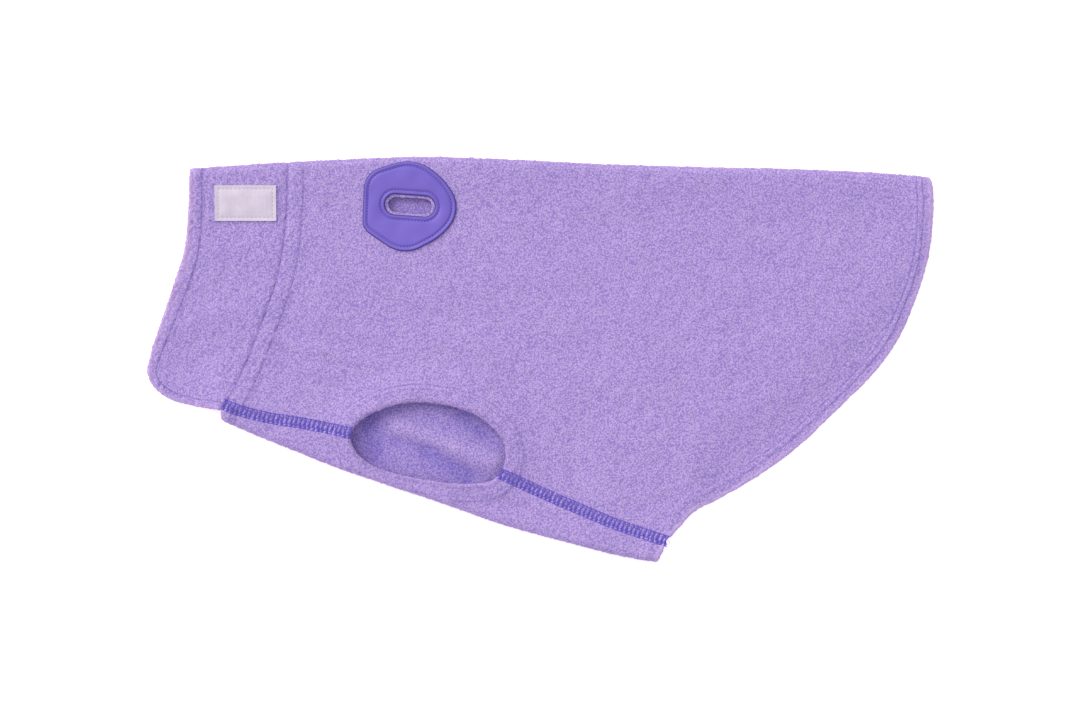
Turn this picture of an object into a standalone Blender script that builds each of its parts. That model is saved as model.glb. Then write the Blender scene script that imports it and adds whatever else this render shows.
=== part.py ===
"""A fleece dog sweater: a pull-over tube of cloth that lies on its side, folded flat.

The tube is folded along two lines, the top fold beside the spine and the bottom fold beside
the middle of the chest. Two layers lie on each other: the far layer is flat on the ground,
and the near layer lies on it, and falls to the ground where it reaches past the far layer.

X runs along the back, from the collar (-X) to the tail (+X). Y points to the spine's side
and Z up, with the ground at Z = 0. Tables and lengths are in millimetres.
"""

import math

import bpy
import numpy as np
from mathutils import Vector
from mathutils.geometry import delaunay_2d_cdt

MM = 0.001                  # metres in a millimetre

# ---------------------------------------------------------------- driving dimensions

WALL = 2.4                  # thickness of the fleece
LAYER_GAP = 0.8             # air between the two layers
SEAM_GAP = 0.3              # space between two pieces at a seam
SEWN_ON_GAP = 0.35          # space under the patch and the label
FOLD_REACH = 3.6            # how far a fold bulges out past the flat layers
FOLD_LIFT = 2.0             # how much higher the near layer is beside a fold
FOLD_SPREAD = 30.0          # over how far from the fold that lift dies out
DRAPE_START = 0.5           # how far past the far layer's edge the near layer begins to fall
DRAPE_END = 18.0            # and how far past it the near layer lies on the ground
EDGE_ROUND = 0.8            # how much an edge is rounded off
EDGE_RUN = 1.6              # over how far it is rounded off

OUTLINE_STEP = 4.5          # spacing of the mesh's points along an edge
FIELD_STEP = 10.0           # in the open field of a panel
FIELD_CLEARANCE = 4.5       # and how far they keep from edges and hems
FOLD_STEP = 7.5             # along a fold
FOLD_SIDES = 6              # faces round a fold
FINE_STEP = 1.0             # along a line that distances are measured to
RIM_STEP = 3.6              # along the rim of a leg hole
SEAM_POINTS = 1000          # points of the side seam before the leg hole is cut out of it
RIM_TRIM = 2                # rim points left out where a side seam meets the leg hole
END_CLEARANCE = 1.1         # an edge's own points keep this far from its ends
LINE_CLEARANCE = 2.2        # a line beside a hem keeps this far from other edges
SLACK = 0.1                 # allowed when two distances are compared
WELD = 1e-6                 # points nearer to each other than this are one
SHARP_ANGLE = 40.0          # degrees between faces that are shaded apart

# The folds, seen from above.
TOP_FOLD = (                # x, y
    (-195.7, 106.7),
    (-156.5, 109.5),
    (-111.7, 111.9),
    (-66.0, 113.5),
    (-22.1, 112.3),
    (33.9, 109.5),
    (89.9, 107.8),
    (145.9, 106.5),
    (201.9, 103.8),
    (219.8, 101.4),
)
CHEST_SECTIONS = (          # x, y of the near side seam, y of the bottom fold
    (-179.4, -24.2, -33.4),
    (-165.0, -29.5, -39.8),
    (-150.0, -33.0, -46.0),
    (-134.0, -35.5, -52.4),
    (-112.0, -39.8, -61.1),
    (-89.0, -45.0, -69.0),
    (-56.0, -52.5, -79.9),
    (-22.0, -63.9, -92.0),
    (0.0, -74.1, -98.3),
    (18.0, -81.9, -103.0),
    (44.0, -92.7, -109.7),
    (70.8, -101.6, -114.3),
)
SEAM_START = -176.2         # x of the near side seam at the neck
SEAM_END = 70.8             # and at the tail

# Edges of the near layer, each from the side seam or the throat to a fold.
NEAR_NECK = (               # x, y
    (-178.6, -28.4),
    (-172.4, -18.8),
    (-166.9, -8.1),
    (-159.3, 10.6),
    (-152.7, 27.8),
    (-147.4, 43.6),
    (-143.4, 63.4),
    (-141.5, 83.3),
    (-140.8, 109.8),
)
NEAR_COLLAR = (             # x, y
    (-178.6, -28.4),
    (-194.5, -25.9),
    (-209.0, -21.4),
    (-217.2, -14.6),
    (-220.2, -7.0),
    (-218.8, 1.0),
    (-211.8, 22.1),
    (-204.1, 44.5),
    (-198.8, 62.0),
    (-197.0, 80.0),
    (-195.7, 106.7),
)
NEAR_THROAT = (             # x, y
    (-178.5, -28.6),
    (-178.8, -30.0),
    (-179.4, -33.4),
)
NEAR_TAIL = (               # x, y
    (70.8, -101.6),
    (77.0, -94.8),
    (85.5, -85.2),
    (98.3, -78.6),
    (117.9, -67.5),
    (148.7, -45.1),
    (184.6, -11.5),
    (200.4, 10.9),
    (210.5, 33.3),
    (217.6, 55.7),
    (220.5, 84.0),
    (219.8, 101.4),
)
NEAR_BELLY = (              # x, y
    (70.8, -101.6),
    (69.2, -106.7),
    (66.6, -112.9),
)

# The far layer is the same cloth, rolled towards the spine's side: a seam or a leg hole of
# the near layer is found again on the far one after this shift.
FAR_SHIFT = (               # x on the near layer, shift in x, shift in y
    (-178.0, 11.8, 40.9),
    (-120.0, 6.0, 48.0),
    (-61.0, 3.4, 52.0),
    (0.0, 4.5, 52.5),
    (71.0, 9.0, 49.8),
    (150.0, 2.0, 50.5),
    (220.0, 0.5, 50.5),
)
FAR_TAIL_TOP = 88.0         # y above which the far tail hem runs straight to the top fold
FAR_NECK = (                # x, y
    (-166.8, 12.5),
    (-158.4, 33.0),
    (-152.5, 50.0),
    (-147.0, 69.0),
    (-143.0, 90.0),
    (-140.8, 109.8),
)
FAR_COLLAR = (              # x, y
    (-166.8, 12.5),
    (-187.5, 19.6),
    (-198.0, 26.0),
    (-201.6, 35.0),
    (-199.0, 46.0),
    (-195.6, 62.0),
    (-194.6, 84.0),
    (-195.7, 106.7),
)
FAR_THROAT = (              # x, y
    (-166.6, 12.3),
    (-173.4, -11.0),
    (-179.4, -33.4),
)
FAR_BELLY = (               # x, y
    (79.8, -51.8),
    (73.0, -84.0),
    (66.6, -112.9),
)

# A leg hole is an uneven oval: narrow at the neck's end, and full below its tail end.
LEG_HOLE = (                # x, y, anticlockwise
    (-19.0, -54.5),
    (-19.9, -47.0),
    (-24.0, -40.6),
    (-31.8, -33.5),
    (-42.5, -28.3),
    (-56.0, -25.0),
    (-70.0, -24.0),
    (-83.0, -26.1),
    (-94.5, -30.8),
    (-102.0, -35.9),
    (-105.8, -42.8),
    (-103.0, -50.8),
    (-94.1, -59.0),
    (-82.0, -63.5),
    (-66.0, -67.0),
    (-50.0, -69.0),
    (-36.0, -69.4),
    (-26.6, -67.5),
    (-21.0, -62.0),
)
LEG_HOLE_POINTS = 720

# The leash hole, its patch and the label, all on the near layer.
SLOT_CENTRE = (-72.5, 86.2)
SLOT_TILT = -4.0            # degrees
CLOTH_SLOT = (23.5, 8.4)    # length and width of the hole in the cloth
PATCH_SLOT = (27.8, 11.3)   # length and width of the slot in the patch
PATCH_CORNERS = (           # x, y from the slot's centre, radius
    (31.0, -2.6, 17.3),
    (19.5, 14.8, 39.2),
    (3.4, 28.1, 21.9),
    (-26.2, 18.3, 14.1),
    (-27.0, -13.3, 7.6),
    (-3.5, -29.7, 18.3),
    (18.4, -17.3, 28.5),
)
PATCH_PROFILE = (           # distance in from an edge, height of the top there
    (0.0, 1.5),
    (0.6, 2.3),
    (1.9, 2.3),
    (2.6, 1.2),
    (3.4, 1.8),
)
CLOTH_SLOT_POINTS = 24      # points round the hole in the cloth
PATCH_SPOKES = 44           # points round the patch and its slot
PATCH_CORNER_SIDES = 8      # sides of each rounded corner
PATCH_FIELD_RINGS = 2       # rings between its two rims
ARC_POINTS = 240            # points of a slot's outline before it is spaced
LABEL_CENTRE = (-164.5, 87.5)
LABEL_SIZE = (34.4, 19.9)
LABEL_THICKNESS = 0.9
LABEL_CELLS = (8, 5)

# Where the cloth is doubled: the width and the extra height of each hem or band.
HEMS = {
    "tail": (9.5, 1.2),
    "belly": (9.5, 1.2),
    "leg": (10.2, 1.2),
    "throat": (6.5, 1.0),
    "collar": (6.5, 1.2),
    "neck": (8.4, 0.9),
}
HEM_STEP_IN = 0.6           # a hem's inner edge steps down from this far inside its width
HEM_STEP_OUT = 0.9          # to this far outside it

FLEECE = ((0.450, 0.323, 0.686), 0.95)          # colour and roughness
MOULDED = ((0.198, 0.138, 0.578), 0.55)
WOVEN = ((0.78, 0.76, 0.80), 0.80)


# ---------------------------------------------------------------- curves

def smooth_column(known, values, wanted):
    """Values at `wanted` of the cubic that runs smoothly through (known, values)."""
    known = np.asarray(known, float)
    values = np.asarray(values, float)
    wanted = np.asarray(wanted, float)
    slopes = np.gradient(values, known, axis=0)
    low = np.clip(np.searchsorted(known, wanted, side="right") - 1, 0, len(known) - 2)
    width = known[low + 1] - known[low]
    t = (wanted - known[low]) / width
    if values.ndim == 2:
        t = t[:, None]
        width = width[:, None]
    start = (1 + 2 * t) * (1 - t) ** 2 * values[low]
    end = t * t * (3 - 2 * t) * values[low + 1]
    leave = t * (1 - t) ** 2 * width * slopes[low]
    arrive = t * t * (t - 1) * width * slopes[low + 1]
    return start + end + leave + arrive


def run_along(line):
    """Length along a polyline at each of its points."""
    steps = np.linalg.norm(np.diff(line, axis=0), axis=1)
    return np.concatenate([[0.0], np.cumsum(steps)])


def through(points):
    """A fine polyline on a smooth curve through the given points."""
    knots = np.asarray(points, float)
    places = run_along(knots)
    count = int(round(places[-1] / FINE_STEP)) + 1
    return smooth_column(places, knots, np.linspace(0.0, places[-1], count))


def spaced(line, spacing):
    """The same polyline with its points about `spacing` apart."""
    places = run_along(line)
    count = max(1, int(round(places[-1] / spacing))) + 1
    wanted = np.linspace(0.0, places[-1], count)
    return np.stack([np.interp(wanted, places, line[:, k]) for k in range(2)], axis=1)


def left_normals(line):
    """Unit normals of a polyline, to the left of its direction."""
    along = np.gradient(line, axis=0)
    along /= np.linalg.norm(along, axis=1)[:, None]
    return np.stack([-along[:, 1], along[:, 0]], axis=1)


def distance(points, line):
    """Shortest distance from each point to a polyline."""
    start = line[:-1][None]
    step = (line[1:] - line[:-1])[None]
    away = points[:, None] - start
    length = np.maximum((step ** 2).sum(axis=2), 1e-12)
    share = np.clip((away * step).sum(axis=2) / length, 0.0, 1.0)
    return np.linalg.norm(away - share[..., None] * step, axis=2).min(axis=1)


def inside(points, loop):
    """Which points lie inside a closed loop."""
    x, y = points[:, 0][:, None], points[:, 1][:, None]
    ax, ay = loop[:, 0][None], loop[:, 1][None]
    bx, by = np.roll(loop[:, 0], -1)[None], np.roll(loop[:, 1], -1)[None]
    spans = (ay > y) != (by > y)
    rise = np.where(by == ay, 1.0, by - ay)
    crosses = spans & (x < (bx - ax) * (y - ay) / rise + ax)
    return crosses.sum(axis=1) % 2 == 1


def closed(loop):
    return np.concatenate([loop, loop[:1]])


def joined(*lines):
    """One loop from polylines that each start where the one before ends."""
    return np.concatenate([line[:-1] for line in lines])


def smoothstep(low, high, value):
    t = np.clip((value - low) / (high - low), 0.0, 1.0)
    return t * t * (3.0 - 2.0 * t)


def turned(points, degrees, centre):
    """Points turned about the origin, then moved to a centre."""
    tilt = math.radians(degrees)
    x, y = points[:, 0], points[:, 1]
    return np.stack([x * math.cos(tilt) - y * math.sin(tilt) + centre[0],
                     x * math.sin(tilt) + y * math.cos(tilt) + centre[1]], axis=1)


def stadium(length, width, count):
    """Loop of a slot with round ends, anticlockwise from its +X end in even steps."""
    radius = 0.5 * width
    angle = np.linspace(0.0, 2.0 * math.pi, ARC_POINTS)
    centre = np.sign(np.cos(angle)) * (0.5 * length - radius)
    line = np.stack([centre + radius * np.cos(angle), radius * np.sin(angle)], axis=1)
    return spaced(line, run_along(line)[-1] / count)[:-1]


def rounded_corners(corners, sides):
    """Loop of a polygon, anticlockwise, whose corners (x, y, radius) are arcs."""
    loop = []
    for index, (x, y, radius) in enumerate(corners):
        corner = np.array([x, y])
        before = np.array(corners[index - 1][:2]) - corner
        after = np.array(corners[(index + 1) % len(corners)][:2]) - corner
        before /= np.linalg.norm(before)
        after /= np.linalg.norm(after)
        half = 0.5 * math.acos(float(before @ after))
        middle = (before + after) / np.linalg.norm(before + after)
        centre = corner + middle * radius / math.sin(half)
        start = math.atan2(*(corner + before * radius / math.tan(half) - centre)[::-1])
        sweep = math.pi - 2.0 * half
        for angle in np.linspace(start, start + sweep, sides + 1):
            loop.append(centre + radius * np.array([math.cos(angle), math.sin(angle)]))
    return np.array(loop)


# ---------------------------------------------------------------- outlines, seen from above

def top_fold_y(x):
    table = np.array(TOP_FOLD)
    return smooth_column(table[:, 0], table[:, 1], x)


def seam_y(x):
    table = np.array(CHEST_SECTIONS)
    return smooth_column(table[:, 0], table[:, 1], x)


def bottom_fold_y(x):
    table = np.array(CHEST_SECTIONS)
    return smooth_column(table[:, 0], table[:, 2], x)


def far_from_near(points):
    """Where points of the near layer are found again on the far one."""
    table = np.array(FAR_SHIFT)
    reach = np.clip(points[:, 0], table[0, 0], table[-1, 0])
    return points + smooth_column(table[:, 0], table[:, 1:], reach)


def leg_hole_rim():
    """Rim of the near leg hole, anticlockwise, on a smooth curve through its marks. The marks
    are lapped by two at each end, so that the curve closes smoothly."""
    marks = np.array(LEG_HOLE)
    lapped = np.concatenate([marks[-2:], marks, marks[:3]])
    places = run_along(lapped)
    wanted = np.linspace(places[2], places[2 + len(marks)], LEG_HOLE_POINTS + 1)[:-1]
    return smooth_column(places, lapped, wanted)


def side_edges():
    """Near edges of the back and the chest panel: side seam, leg hole, side seam."""
    rim = leg_hole_rim()
    xs = np.linspace(SEAM_START, SEAM_END, SEAM_POINTS)
    seam = np.stack([xs, seam_y(xs)], axis=1)
    in_hole = np.nonzero(inside(seam, rim))[0]
    front = seam[:in_hole[0]]
    rear = seam[in_hole[-1] + 1:]
    left = int(np.argmin(np.linalg.norm(rim - front[-1], axis=1)))
    right = int(np.argmin(np.linalg.norm(rim - rear[0], axis=1)))
    upper = np.roll(rim, -right, axis=0)[:(left - right) % LEG_HOLE_POINTS][::-1]
    lower = np.roll(rim, -left, axis=0)[:(right - left) % LEG_HOLE_POINTS]
    half_gap = np.array([0.0, 0.5 * SEAM_GAP])
    edges = []
    for arc, side in ((upper, half_gap), (lower, -half_gap)):
        edges.append(np.concatenate([spaced(front + side, OUTLINE_STEP),
                                     spaced(arc[RIM_TRIM:-RIM_TRIM], RIM_STEP),
                                     spaced(rear + side, OUTLINE_STEP)]))
    return edges


def shoulder(fold_y, start, end, outward):
    """Points where a fold begins, and the way from each to the fold line."""
    count = int(round((end - start) / FOLD_STEP)) + 1
    xs = np.linspace(start, end, count)
    line = np.stack([xs, fold_y(xs)], axis=1)
    way = left_normals(line) * outward
    return line - way * FOLD_REACH, way


def edge(table, start, end, way, shift=0.0):
    """An edge from `start` to the shoulder point `end`, along a table's smooth curve."""
    line = through(table) + np.array([shift, 0.0])
    before_fold = (end - line) @ way > END_CLEARANCE
    from_start = np.linalg.norm(line - start, axis=1)
    past_start = (from_start > END_CLEARANCE) & (np.arange(len(line)) >= np.argmin(from_start))
    middle = line[before_fold & past_start]
    return spaced(np.concatenate([[start], middle, [end]]), OUTLINE_STEP)


def outlines():
    """The edges of each panel's two layers, as a dictionary of loops and lines."""
    half_gap = 0.5 * SEAM_GAP
    neck_x = NEAR_NECK[-1][0]
    back_top, back_up = shoulder(top_fold_y, neck_x + half_gap, TOP_FOLD[-1][0], 1.0)
    collar_top, collar_up = shoulder(top_fold_y, TOP_FOLD[0][0], neck_x - half_gap, 1.0)
    chest_low, chest_down = shoulder(bottom_fold_y, NEAR_THROAT[-1][0], NEAR_BELLY[-1][0], -1.0)
    back_side, chest_side = side_edges()
    shape = {}

    tail = edge(NEAR_TAIL, back_side[-1], back_top[-1], back_up[-1])
    neck = edge(NEAR_NECK, back_side[0], back_top[0], back_up[0], half_gap)
    shape["back near"] = joined(back_side, tail, back_top[::-1], neck[::-1])

    belly = edge(NEAR_BELLY, chest_side[-1], chest_low[-1], chest_down[-1])
    throat = edge(NEAR_THROAT, chest_side[0], chest_low[0], chest_down[0])
    shape["chest near"] = joined(chest_low, belly[::-1], chest_side[::-1], throat)

    collar_end = np.array(NEAR_NECK[0]) + [-half_gap, 0.0]
    seam = edge(NEAR_NECK, collar_end, collar_top[-1], collar_up[-1], -half_gap)
    free = edge(NEAR_COLLAR, collar_end, collar_top[0], collar_up[0])
    shape["collar near"] = joined(seam, collar_top[::-1], free[::-1])

    back_side_far = far_from_near(back_side)
    chest_side_far = far_from_near(chest_side)
    tail_table = far_from_near(np.array(NEAR_TAIL))
    tail_table = tail_table[tail_table[:, 1] < FAR_TAIL_TOP]
    tail_table = np.concatenate([tail_table, [TOP_FOLD[-1]]])
    tail_far = edge(tail_table, back_side_far[-1], back_top[-1], back_up[-1])
    neck_far = edge(FAR_NECK, back_side_far[0], back_top[0], back_up[0], half_gap)
    shape["back far"] = joined(back_side_far, tail_far, back_top[::-1], neck_far[::-1])

    belly_far = edge(FAR_BELLY, chest_side_far[-1], chest_low[-1], chest_down[-1])
    throat_far = edge(FAR_THROAT, chest_side_far[0], chest_low[0], chest_down[0])
    shape["chest far"] = joined(chest_low, belly_far[::-1], chest_side_far[::-1], throat_far)

    collar_end_far = np.array(FAR_NECK[0]) + [-half_gap, 0.0]
    seam_far = edge(FAR_NECK, collar_end_far, collar_top[-1], collar_up[-1], -half_gap)
    free_far = edge(FAR_COLLAR, collar_end_far, collar_top[0], collar_up[0])
    shape["collar far"] = joined(seam_far, collar_top[::-1], free_far[::-1])

    shape["back top"] = (back_top, back_up)
    shape["collar top"] = (collar_top, collar_up)
    shape["chest low"] = (chest_low, chest_down)
    shape["far layer"] = joined(throat_far[::-1], free_far, collar_top, back_top[1:],
                                tail_far[::-1], belly_far, chest_low[::-1])
    shape["hems"] = {
        "tail": through(NEAR_TAIL),
        "belly": through(NEAR_BELLY),
        "leg": spaced(closed(leg_hole_rim()), FINE_STEP),
        "throat": through(NEAR_THROAT),
        "collar": through(NEAR_COLLAR),
        "neck": through(NEAR_NECK),
    }
    return shape


# ---------------------------------------------------------------- heights

def near_inside(points, shape):
    """Height of the near layer's inner face."""
    far = shape["far layer"]
    past = np.where(inside(points, far), 0.0, distance(points, closed(far)))
    lying = 1.0 - smoothstep(DRAPE_START, DRAPE_END, past)
    top = np.concatenate([shape["collar top"][0], shape["back top"][0]])
    low = shape["chest low"][0]
    from_fold = np.minimum(distance(points, top), distance(points, low))
    lift = FOLD_LIFT * (1.0 - smoothstep(0.0, FOLD_SPREAD, from_fold))
    return (WALL + LAYER_GAP + lift) * lying


def relief(points, shape, hem_names):
    """Extra height of the outer face: doubled cloth, less the rounding of its edges."""
    band = np.zeros(len(points))
    rounding = np.zeros(len(points))
    for name in hem_names:
        width, height = HEMS[name]
        away = distance(points, shape["hems"][name])
        step = 1.0 - smoothstep(width - HEM_STEP_IN, width + HEM_STEP_OUT, away)
        band = np.maximum(band, height * step)
        rounding = np.maximum(rounding, EDGE_ROUND * (1.0 - smoothstep(0.0, EDGE_RUN, away)))
    return band - rounding


# ---------------------------------------------------------------- sheets and walls

def lines_in(loop, holes, shape, hem_names):
    """The lines that a panel's mesh follows beside its hems, in unbroken runs."""
    runs = []
    for name in hem_names:
        width = HEMS[name][0]
        hem = shape["hems"][name]
        coarse = spaced(hem, OUTLINE_STEP)
        for away in (EDGE_RUN, width - HEM_STEP_IN, width + HEM_STEP_OUT):
            for side in (-1.0, 1.0):
                line = coarse + left_normals(coarse) * side * away
                clear = np.minimum(distance(line, closed(loop)), distance(line, hem))
                keep = inside(line, loop) & (distance(line, hem) > away - SLACK)
                keep &= clear > min(away, LINE_CLEARANCE) - SLACK
                for hole in holes:
                    keep &= ~inside(line, hole)
                splits = np.nonzero(np.diff(keep.astype(int)))[0] + 1
                runs += [part for part, kept in zip(np.split(line, splits), np.split(keep, splits))
                         if kept[0]]
    return runs


def field_points(loop, lines, step):
    """Points of a triangular lattice in the open field of a panel."""
    low, high = loop.min(axis=0), loop.max(axis=0)
    rows = []
    for row, y in enumerate(np.arange(low[1], high[1], step * math.sqrt(0.75))):
        xs = np.arange(low[0] + (row % 2) * 0.5 * step, high[0], step)
        rows.append(np.stack([xs, np.full(len(xs), y)], axis=1))
    points = np.concatenate(rows)
    keep = inside(points, loop)
    for line in lines:
        keep &= np.linalg.norm(points[:, None] - line[None], axis=2).min(axis=1) > FIELD_CLEARANCE
    return points[keep]


def triangulated(loop, holes=(), runs=(), step=None):
    """Triangles that fill a loop round its holes, anticlockwise, with the given lines as edges."""
    points, lines = [], []
    for ring in (loop, *holes):
        first = len(points)
        points += list(ring)
        lines += [(first + k, first + (k + 1) % len(ring)) for k in range(len(ring))]
    for run in runs:
        first = len(points)
        points += list(run)
        lines += [(first + k, first + k + 1) for k in range(len(run) - 1)]
    if step:
        points += list(field_points(loop, [loop, *holes, *runs], step))
    result = delaunay_2d_cdt([Vector(point) for point in points], lines, [], 0, WELD)
    corners = np.array([list(vertex) for vertex in result[0]])
    faces = np.array([list(face) for face in result[2]])
    middles = corners[faces].mean(axis=1)
    keep = inside(middles, loop)
    for hole in holes:
        keep &= ~inside(middles, hole)
    faces = faces[keep]
    a, b, c = (corners[faces[:, k]] for k in range(3))
    area = (b - a)[:, 0] * (c - a)[:, 1] - (b - a)[:, 1] * (c - a)[:, 0]
    faces[area < 0.0] = faces[area < 0.0][:, ::-1]
    used = np.unique(faces)
    place = np.zeros(len(corners), int)
    place[used] = np.arange(len(used))
    return corners[used], place[faces]


def folded_sheet(near, far, fold, shape, hem_names, holes=()):
    """Outer points, inner points and faces of a panel that runs round a fold."""
    runs = lines_in(near, holes, shape, hem_names)
    near_points, near_faces = triangulated(near, holes, runs, FIELD_STEP)
    far_points, far_faces = triangulated(far)
    low = near_inside(near_points, shape)
    high = low + WALL + relief(near_points, shape, hem_names)
    flat = np.zeros(len(far_points))
    outer = [np.column_stack([near_points, high]), np.column_stack([far_points, flat])]
    inner = [np.column_stack([near_points, low]), np.column_stack([far_points, flat + WALL])]
    faces = near_faces.tolist() + (far_faces[:, ::-1] + len(near_points)).tolist()

    line, way = fold
    top = near_inside(line, shape)
    half = 0.5 * (top + WALL)
    extra = relief(line, shape, hem_names)
    nearest = [int(np.argmin(np.linalg.norm(near_points - point, axis=1))) for point in line]
    farthest = [int(np.argmin(np.linalg.norm(far_points - point, axis=1))) for point in line]
    rows = [np.array(nearest)]
    count = len(near_points) + len(far_points)
    for k in range(1, FOLD_SIDES):
        angle = math.pi * k / FOLD_SIDES
        proud = extra * 0.5 * (1.0 + math.cos(angle))
        reach = (FOLD_REACH + proud) * math.sin(angle)
        outer.append(np.column_stack([line + way * reach[:, None],
                                      half + (half + proud) * math.cos(angle)]))
        reach = (FOLD_REACH - WALL) * math.sin(angle)
        inner.append(np.column_stack([line + way * reach,
                                      half + (half - WALL) * math.cos(angle)]))
        rows.append(count + np.arange(len(line)))
        count += len(line)
    rows.append(np.array(farthest) + len(near_points))
    turn = 1 if way[0][1] > 0.0 else -1
    for before, after in zip(rows[:-1], rows[1:]):
        for k in range(len(line) - 1):
            face = [before[k], before[k + 1], after[k + 1], after[k]][::turn]
            faces.append([int(corner) for corner in face])
    return np.concatenate(outer), np.concatenate(inner), faces


def walled(outer, inner, faces):
    """Points and faces of the closed wall between a sheet's outer and inner points."""
    sides = {(a, b) for face in faces for a, b in zip(face, face[1:] + face[:1])}
    rim = sorted(side for side in sides if side[::-1] not in sides)
    count = len(outer)
    under = [[corner + count for corner in reversed(face)] for face in faces]
    walls = [[b, a, a + count, b + count] for a, b in rim]
    return np.concatenate([outer, inner]), faces + under + walls


# ---------------------------------------------------------------- objects

def material(name, finish):
    (red, green, blue), roughness = finish
    result = bpy.data.materials.new(name)
    result.use_nodes = True
    shader = result.node_tree.nodes["Principled BSDF"]
    shader.inputs["Base Color"].default_value = (red, green, blue, 1.0)
    shader.inputs["Roughness"].default_value = roughness
    result.diffuse_color = (red, green, blue, 1.0)
    return result


def add_object(name, points, faces, finish):
    mesh = bpy.data.meshes.new(name)
    mesh.from_pydata((points * MM).tolist(), [], faces)
    mesh.materials.append(finish)
    mesh.shade_smooth()
    mesh.set_sharp_from_angle(angle=math.radians(SHARP_ANGLE))
    result = bpy.data.objects.new(name, mesh)
    bpy.context.collection.objects.link(result)
    return result


def leash_slot(size, count):
    return turned(stadium(*size, count), SLOT_TILT, SLOT_CENTRE)


def add_panels(shape, fleece):
    """The back panel, the chest panel and the collar."""
    slot = leash_slot(CLOTH_SLOT, CLOTH_SLOT_POINTS)
    pieces = (
        ("back_panel", "back", "back top", ("tail", "leg", "neck"), (slot,)),
        ("chest_panel", "chest", "chest low", ("belly", "leg", "throat"), ()),
        ("collar", "collar", "collar top", ("collar",), ()),
    )
    for name, key, fold, hem_names, holes in pieces:
        sheet = folded_sheet(shape[key + " near"], shape[key + " far"], shape[fold], shape,
                             hem_names, holes)
        add_object(name, *walled(*sheet), fleece)


def add_patch(shape, moulded):
    """The leash patch: rings from its outer edge to its slot, on the back panel."""
    corners = rounded_corners(PATCH_CORNERS, PATCH_CORNER_SIDES)
    outline = spaced(closed(corners), FINE_STEP)[:-1]
    slot = leash_slot(PATCH_SLOT, PATCH_SPOKES)
    spokes = slot - np.array(SLOT_CENTRE)
    places = np.arctan2(outline[:, 1], outline[:, 0])
    wanted = np.arctan2(spokes[:, 1], spokes[:, 0])
    rim = np.stack([np.interp(wanted, places, outline[:, k], period=2.0 * math.pi)
                    for k in range(2)], axis=1) + np.array(SLOT_CENTRE)
    reach = np.linalg.norm(rim - slot, axis=1)
    profile = np.array(PATCH_PROFILE)
    rings, heights = [], []
    for away, height in profile:
        rings.append(rim + (slot - rim) * (away / reach)[:, None])
        heights.append(height)
    for k in range(PATCH_FIELD_RINGS):
        share = (k + 1.0) / (PATCH_FIELD_RINGS + 1.0)
        outer_end = rim + (slot - rim) * (profile[-1, 0] / reach)[:, None]
        inner_end = slot + (rim - slot) * (profile[-1, 0] / reach)[:, None]
        rings.append(outer_end + (inner_end - outer_end) * share)
        heights.append(profile[-1, 1])
    for away, height in profile[::-1]:
        rings.append(slot + (rim - slot) * (away / reach)[:, None])
        heights.append(height)
    points = np.concatenate(rings)
    under = near_inside(points, shape) + WALL + SEWN_ON_GAP
    top = under + np.repeat(heights, PATCH_SPOKES)
    faces = []
    for ring in range(len(rings) - 1):
        for k in range(PATCH_SPOKES):
            here, there = ring * PATCH_SPOKES, (ring + 1) * PATCH_SPOKES
            after = (k + 1) % PATCH_SPOKES
            faces.append([here + k, here + after, there + after, there + k])
    sheet = walled(np.column_stack([points, top]), np.column_stack([points, under]), faces)
    add_object("leash_patch", *sheet, moulded)


def add_label(shape, woven):
    """The label: a small plain sheet on the collar."""
    columns, rows = LABEL_CELLS
    xs = np.linspace(-0.5, 0.5, columns + 1) * LABEL_SIZE[0] + LABEL_CENTRE[0]
    ys = np.linspace(-0.5, 0.5, rows + 1) * LABEL_SIZE[1] + LABEL_CENTRE[1]
    points = np.stack(np.meshgrid(xs, ys), axis=-1).reshape(-1, 2)
    under = near_inside(points, shape) + WALL + SEWN_ON_GAP
    faces = []
    for row in range(rows):
        for column in range(columns):
            first = row * (columns + 1) + column
            above = first + columns + 1
            faces.append([first, first + 1, above + 1, above])
    sheet = walled(np.column_stack([points, under + LABEL_THICKNESS]),
                   np.column_stack([points, under]), faces)
    add_object("label", *sheet, woven)


def main():
    for leftover in list(bpy.data.objects):
        bpy.data.objects.remove(leftover)
    shape = outlines()
    add_panels(shape, material("fleece", FLEECE))
    add_patch(shape, material("moulded", MOULDED))
    add_label(shape, material("woven", WOVEN))


main()
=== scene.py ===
# %% [markdown]
# # A fleece dog sweater, lying flat
# The sweater is a tube of stretch fleece that lies on its side. The camera looks straight down
# on it. Two layers of cloth show: the near one, and through its leg hole a little of the far
# one. Each panel of cloth is made here as a fine grid of points on the CAD solid's form, so
# that hems, creases and rounded edges can be put in as heights. Plan lengths are millimetres
# until a mesh is made, because a sewer thinks in them.

# %% Load the fixed frame
import math

import bpy
import numpy as np
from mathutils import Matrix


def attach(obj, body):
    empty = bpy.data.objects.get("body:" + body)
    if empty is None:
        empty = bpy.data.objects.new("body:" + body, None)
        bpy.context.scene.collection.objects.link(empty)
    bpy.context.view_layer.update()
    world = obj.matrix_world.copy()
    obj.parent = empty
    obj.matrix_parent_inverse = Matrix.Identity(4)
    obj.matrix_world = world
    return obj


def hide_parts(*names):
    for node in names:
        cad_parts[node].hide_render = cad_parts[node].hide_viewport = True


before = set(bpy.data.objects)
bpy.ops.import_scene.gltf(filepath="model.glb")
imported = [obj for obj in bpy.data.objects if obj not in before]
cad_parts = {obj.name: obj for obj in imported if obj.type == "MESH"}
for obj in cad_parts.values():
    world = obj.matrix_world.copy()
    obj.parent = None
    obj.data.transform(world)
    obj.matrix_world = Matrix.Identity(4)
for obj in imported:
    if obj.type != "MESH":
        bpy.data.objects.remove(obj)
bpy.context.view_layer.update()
MM = 0.001
RANDOM = np.random.default_rng(7)

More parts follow.
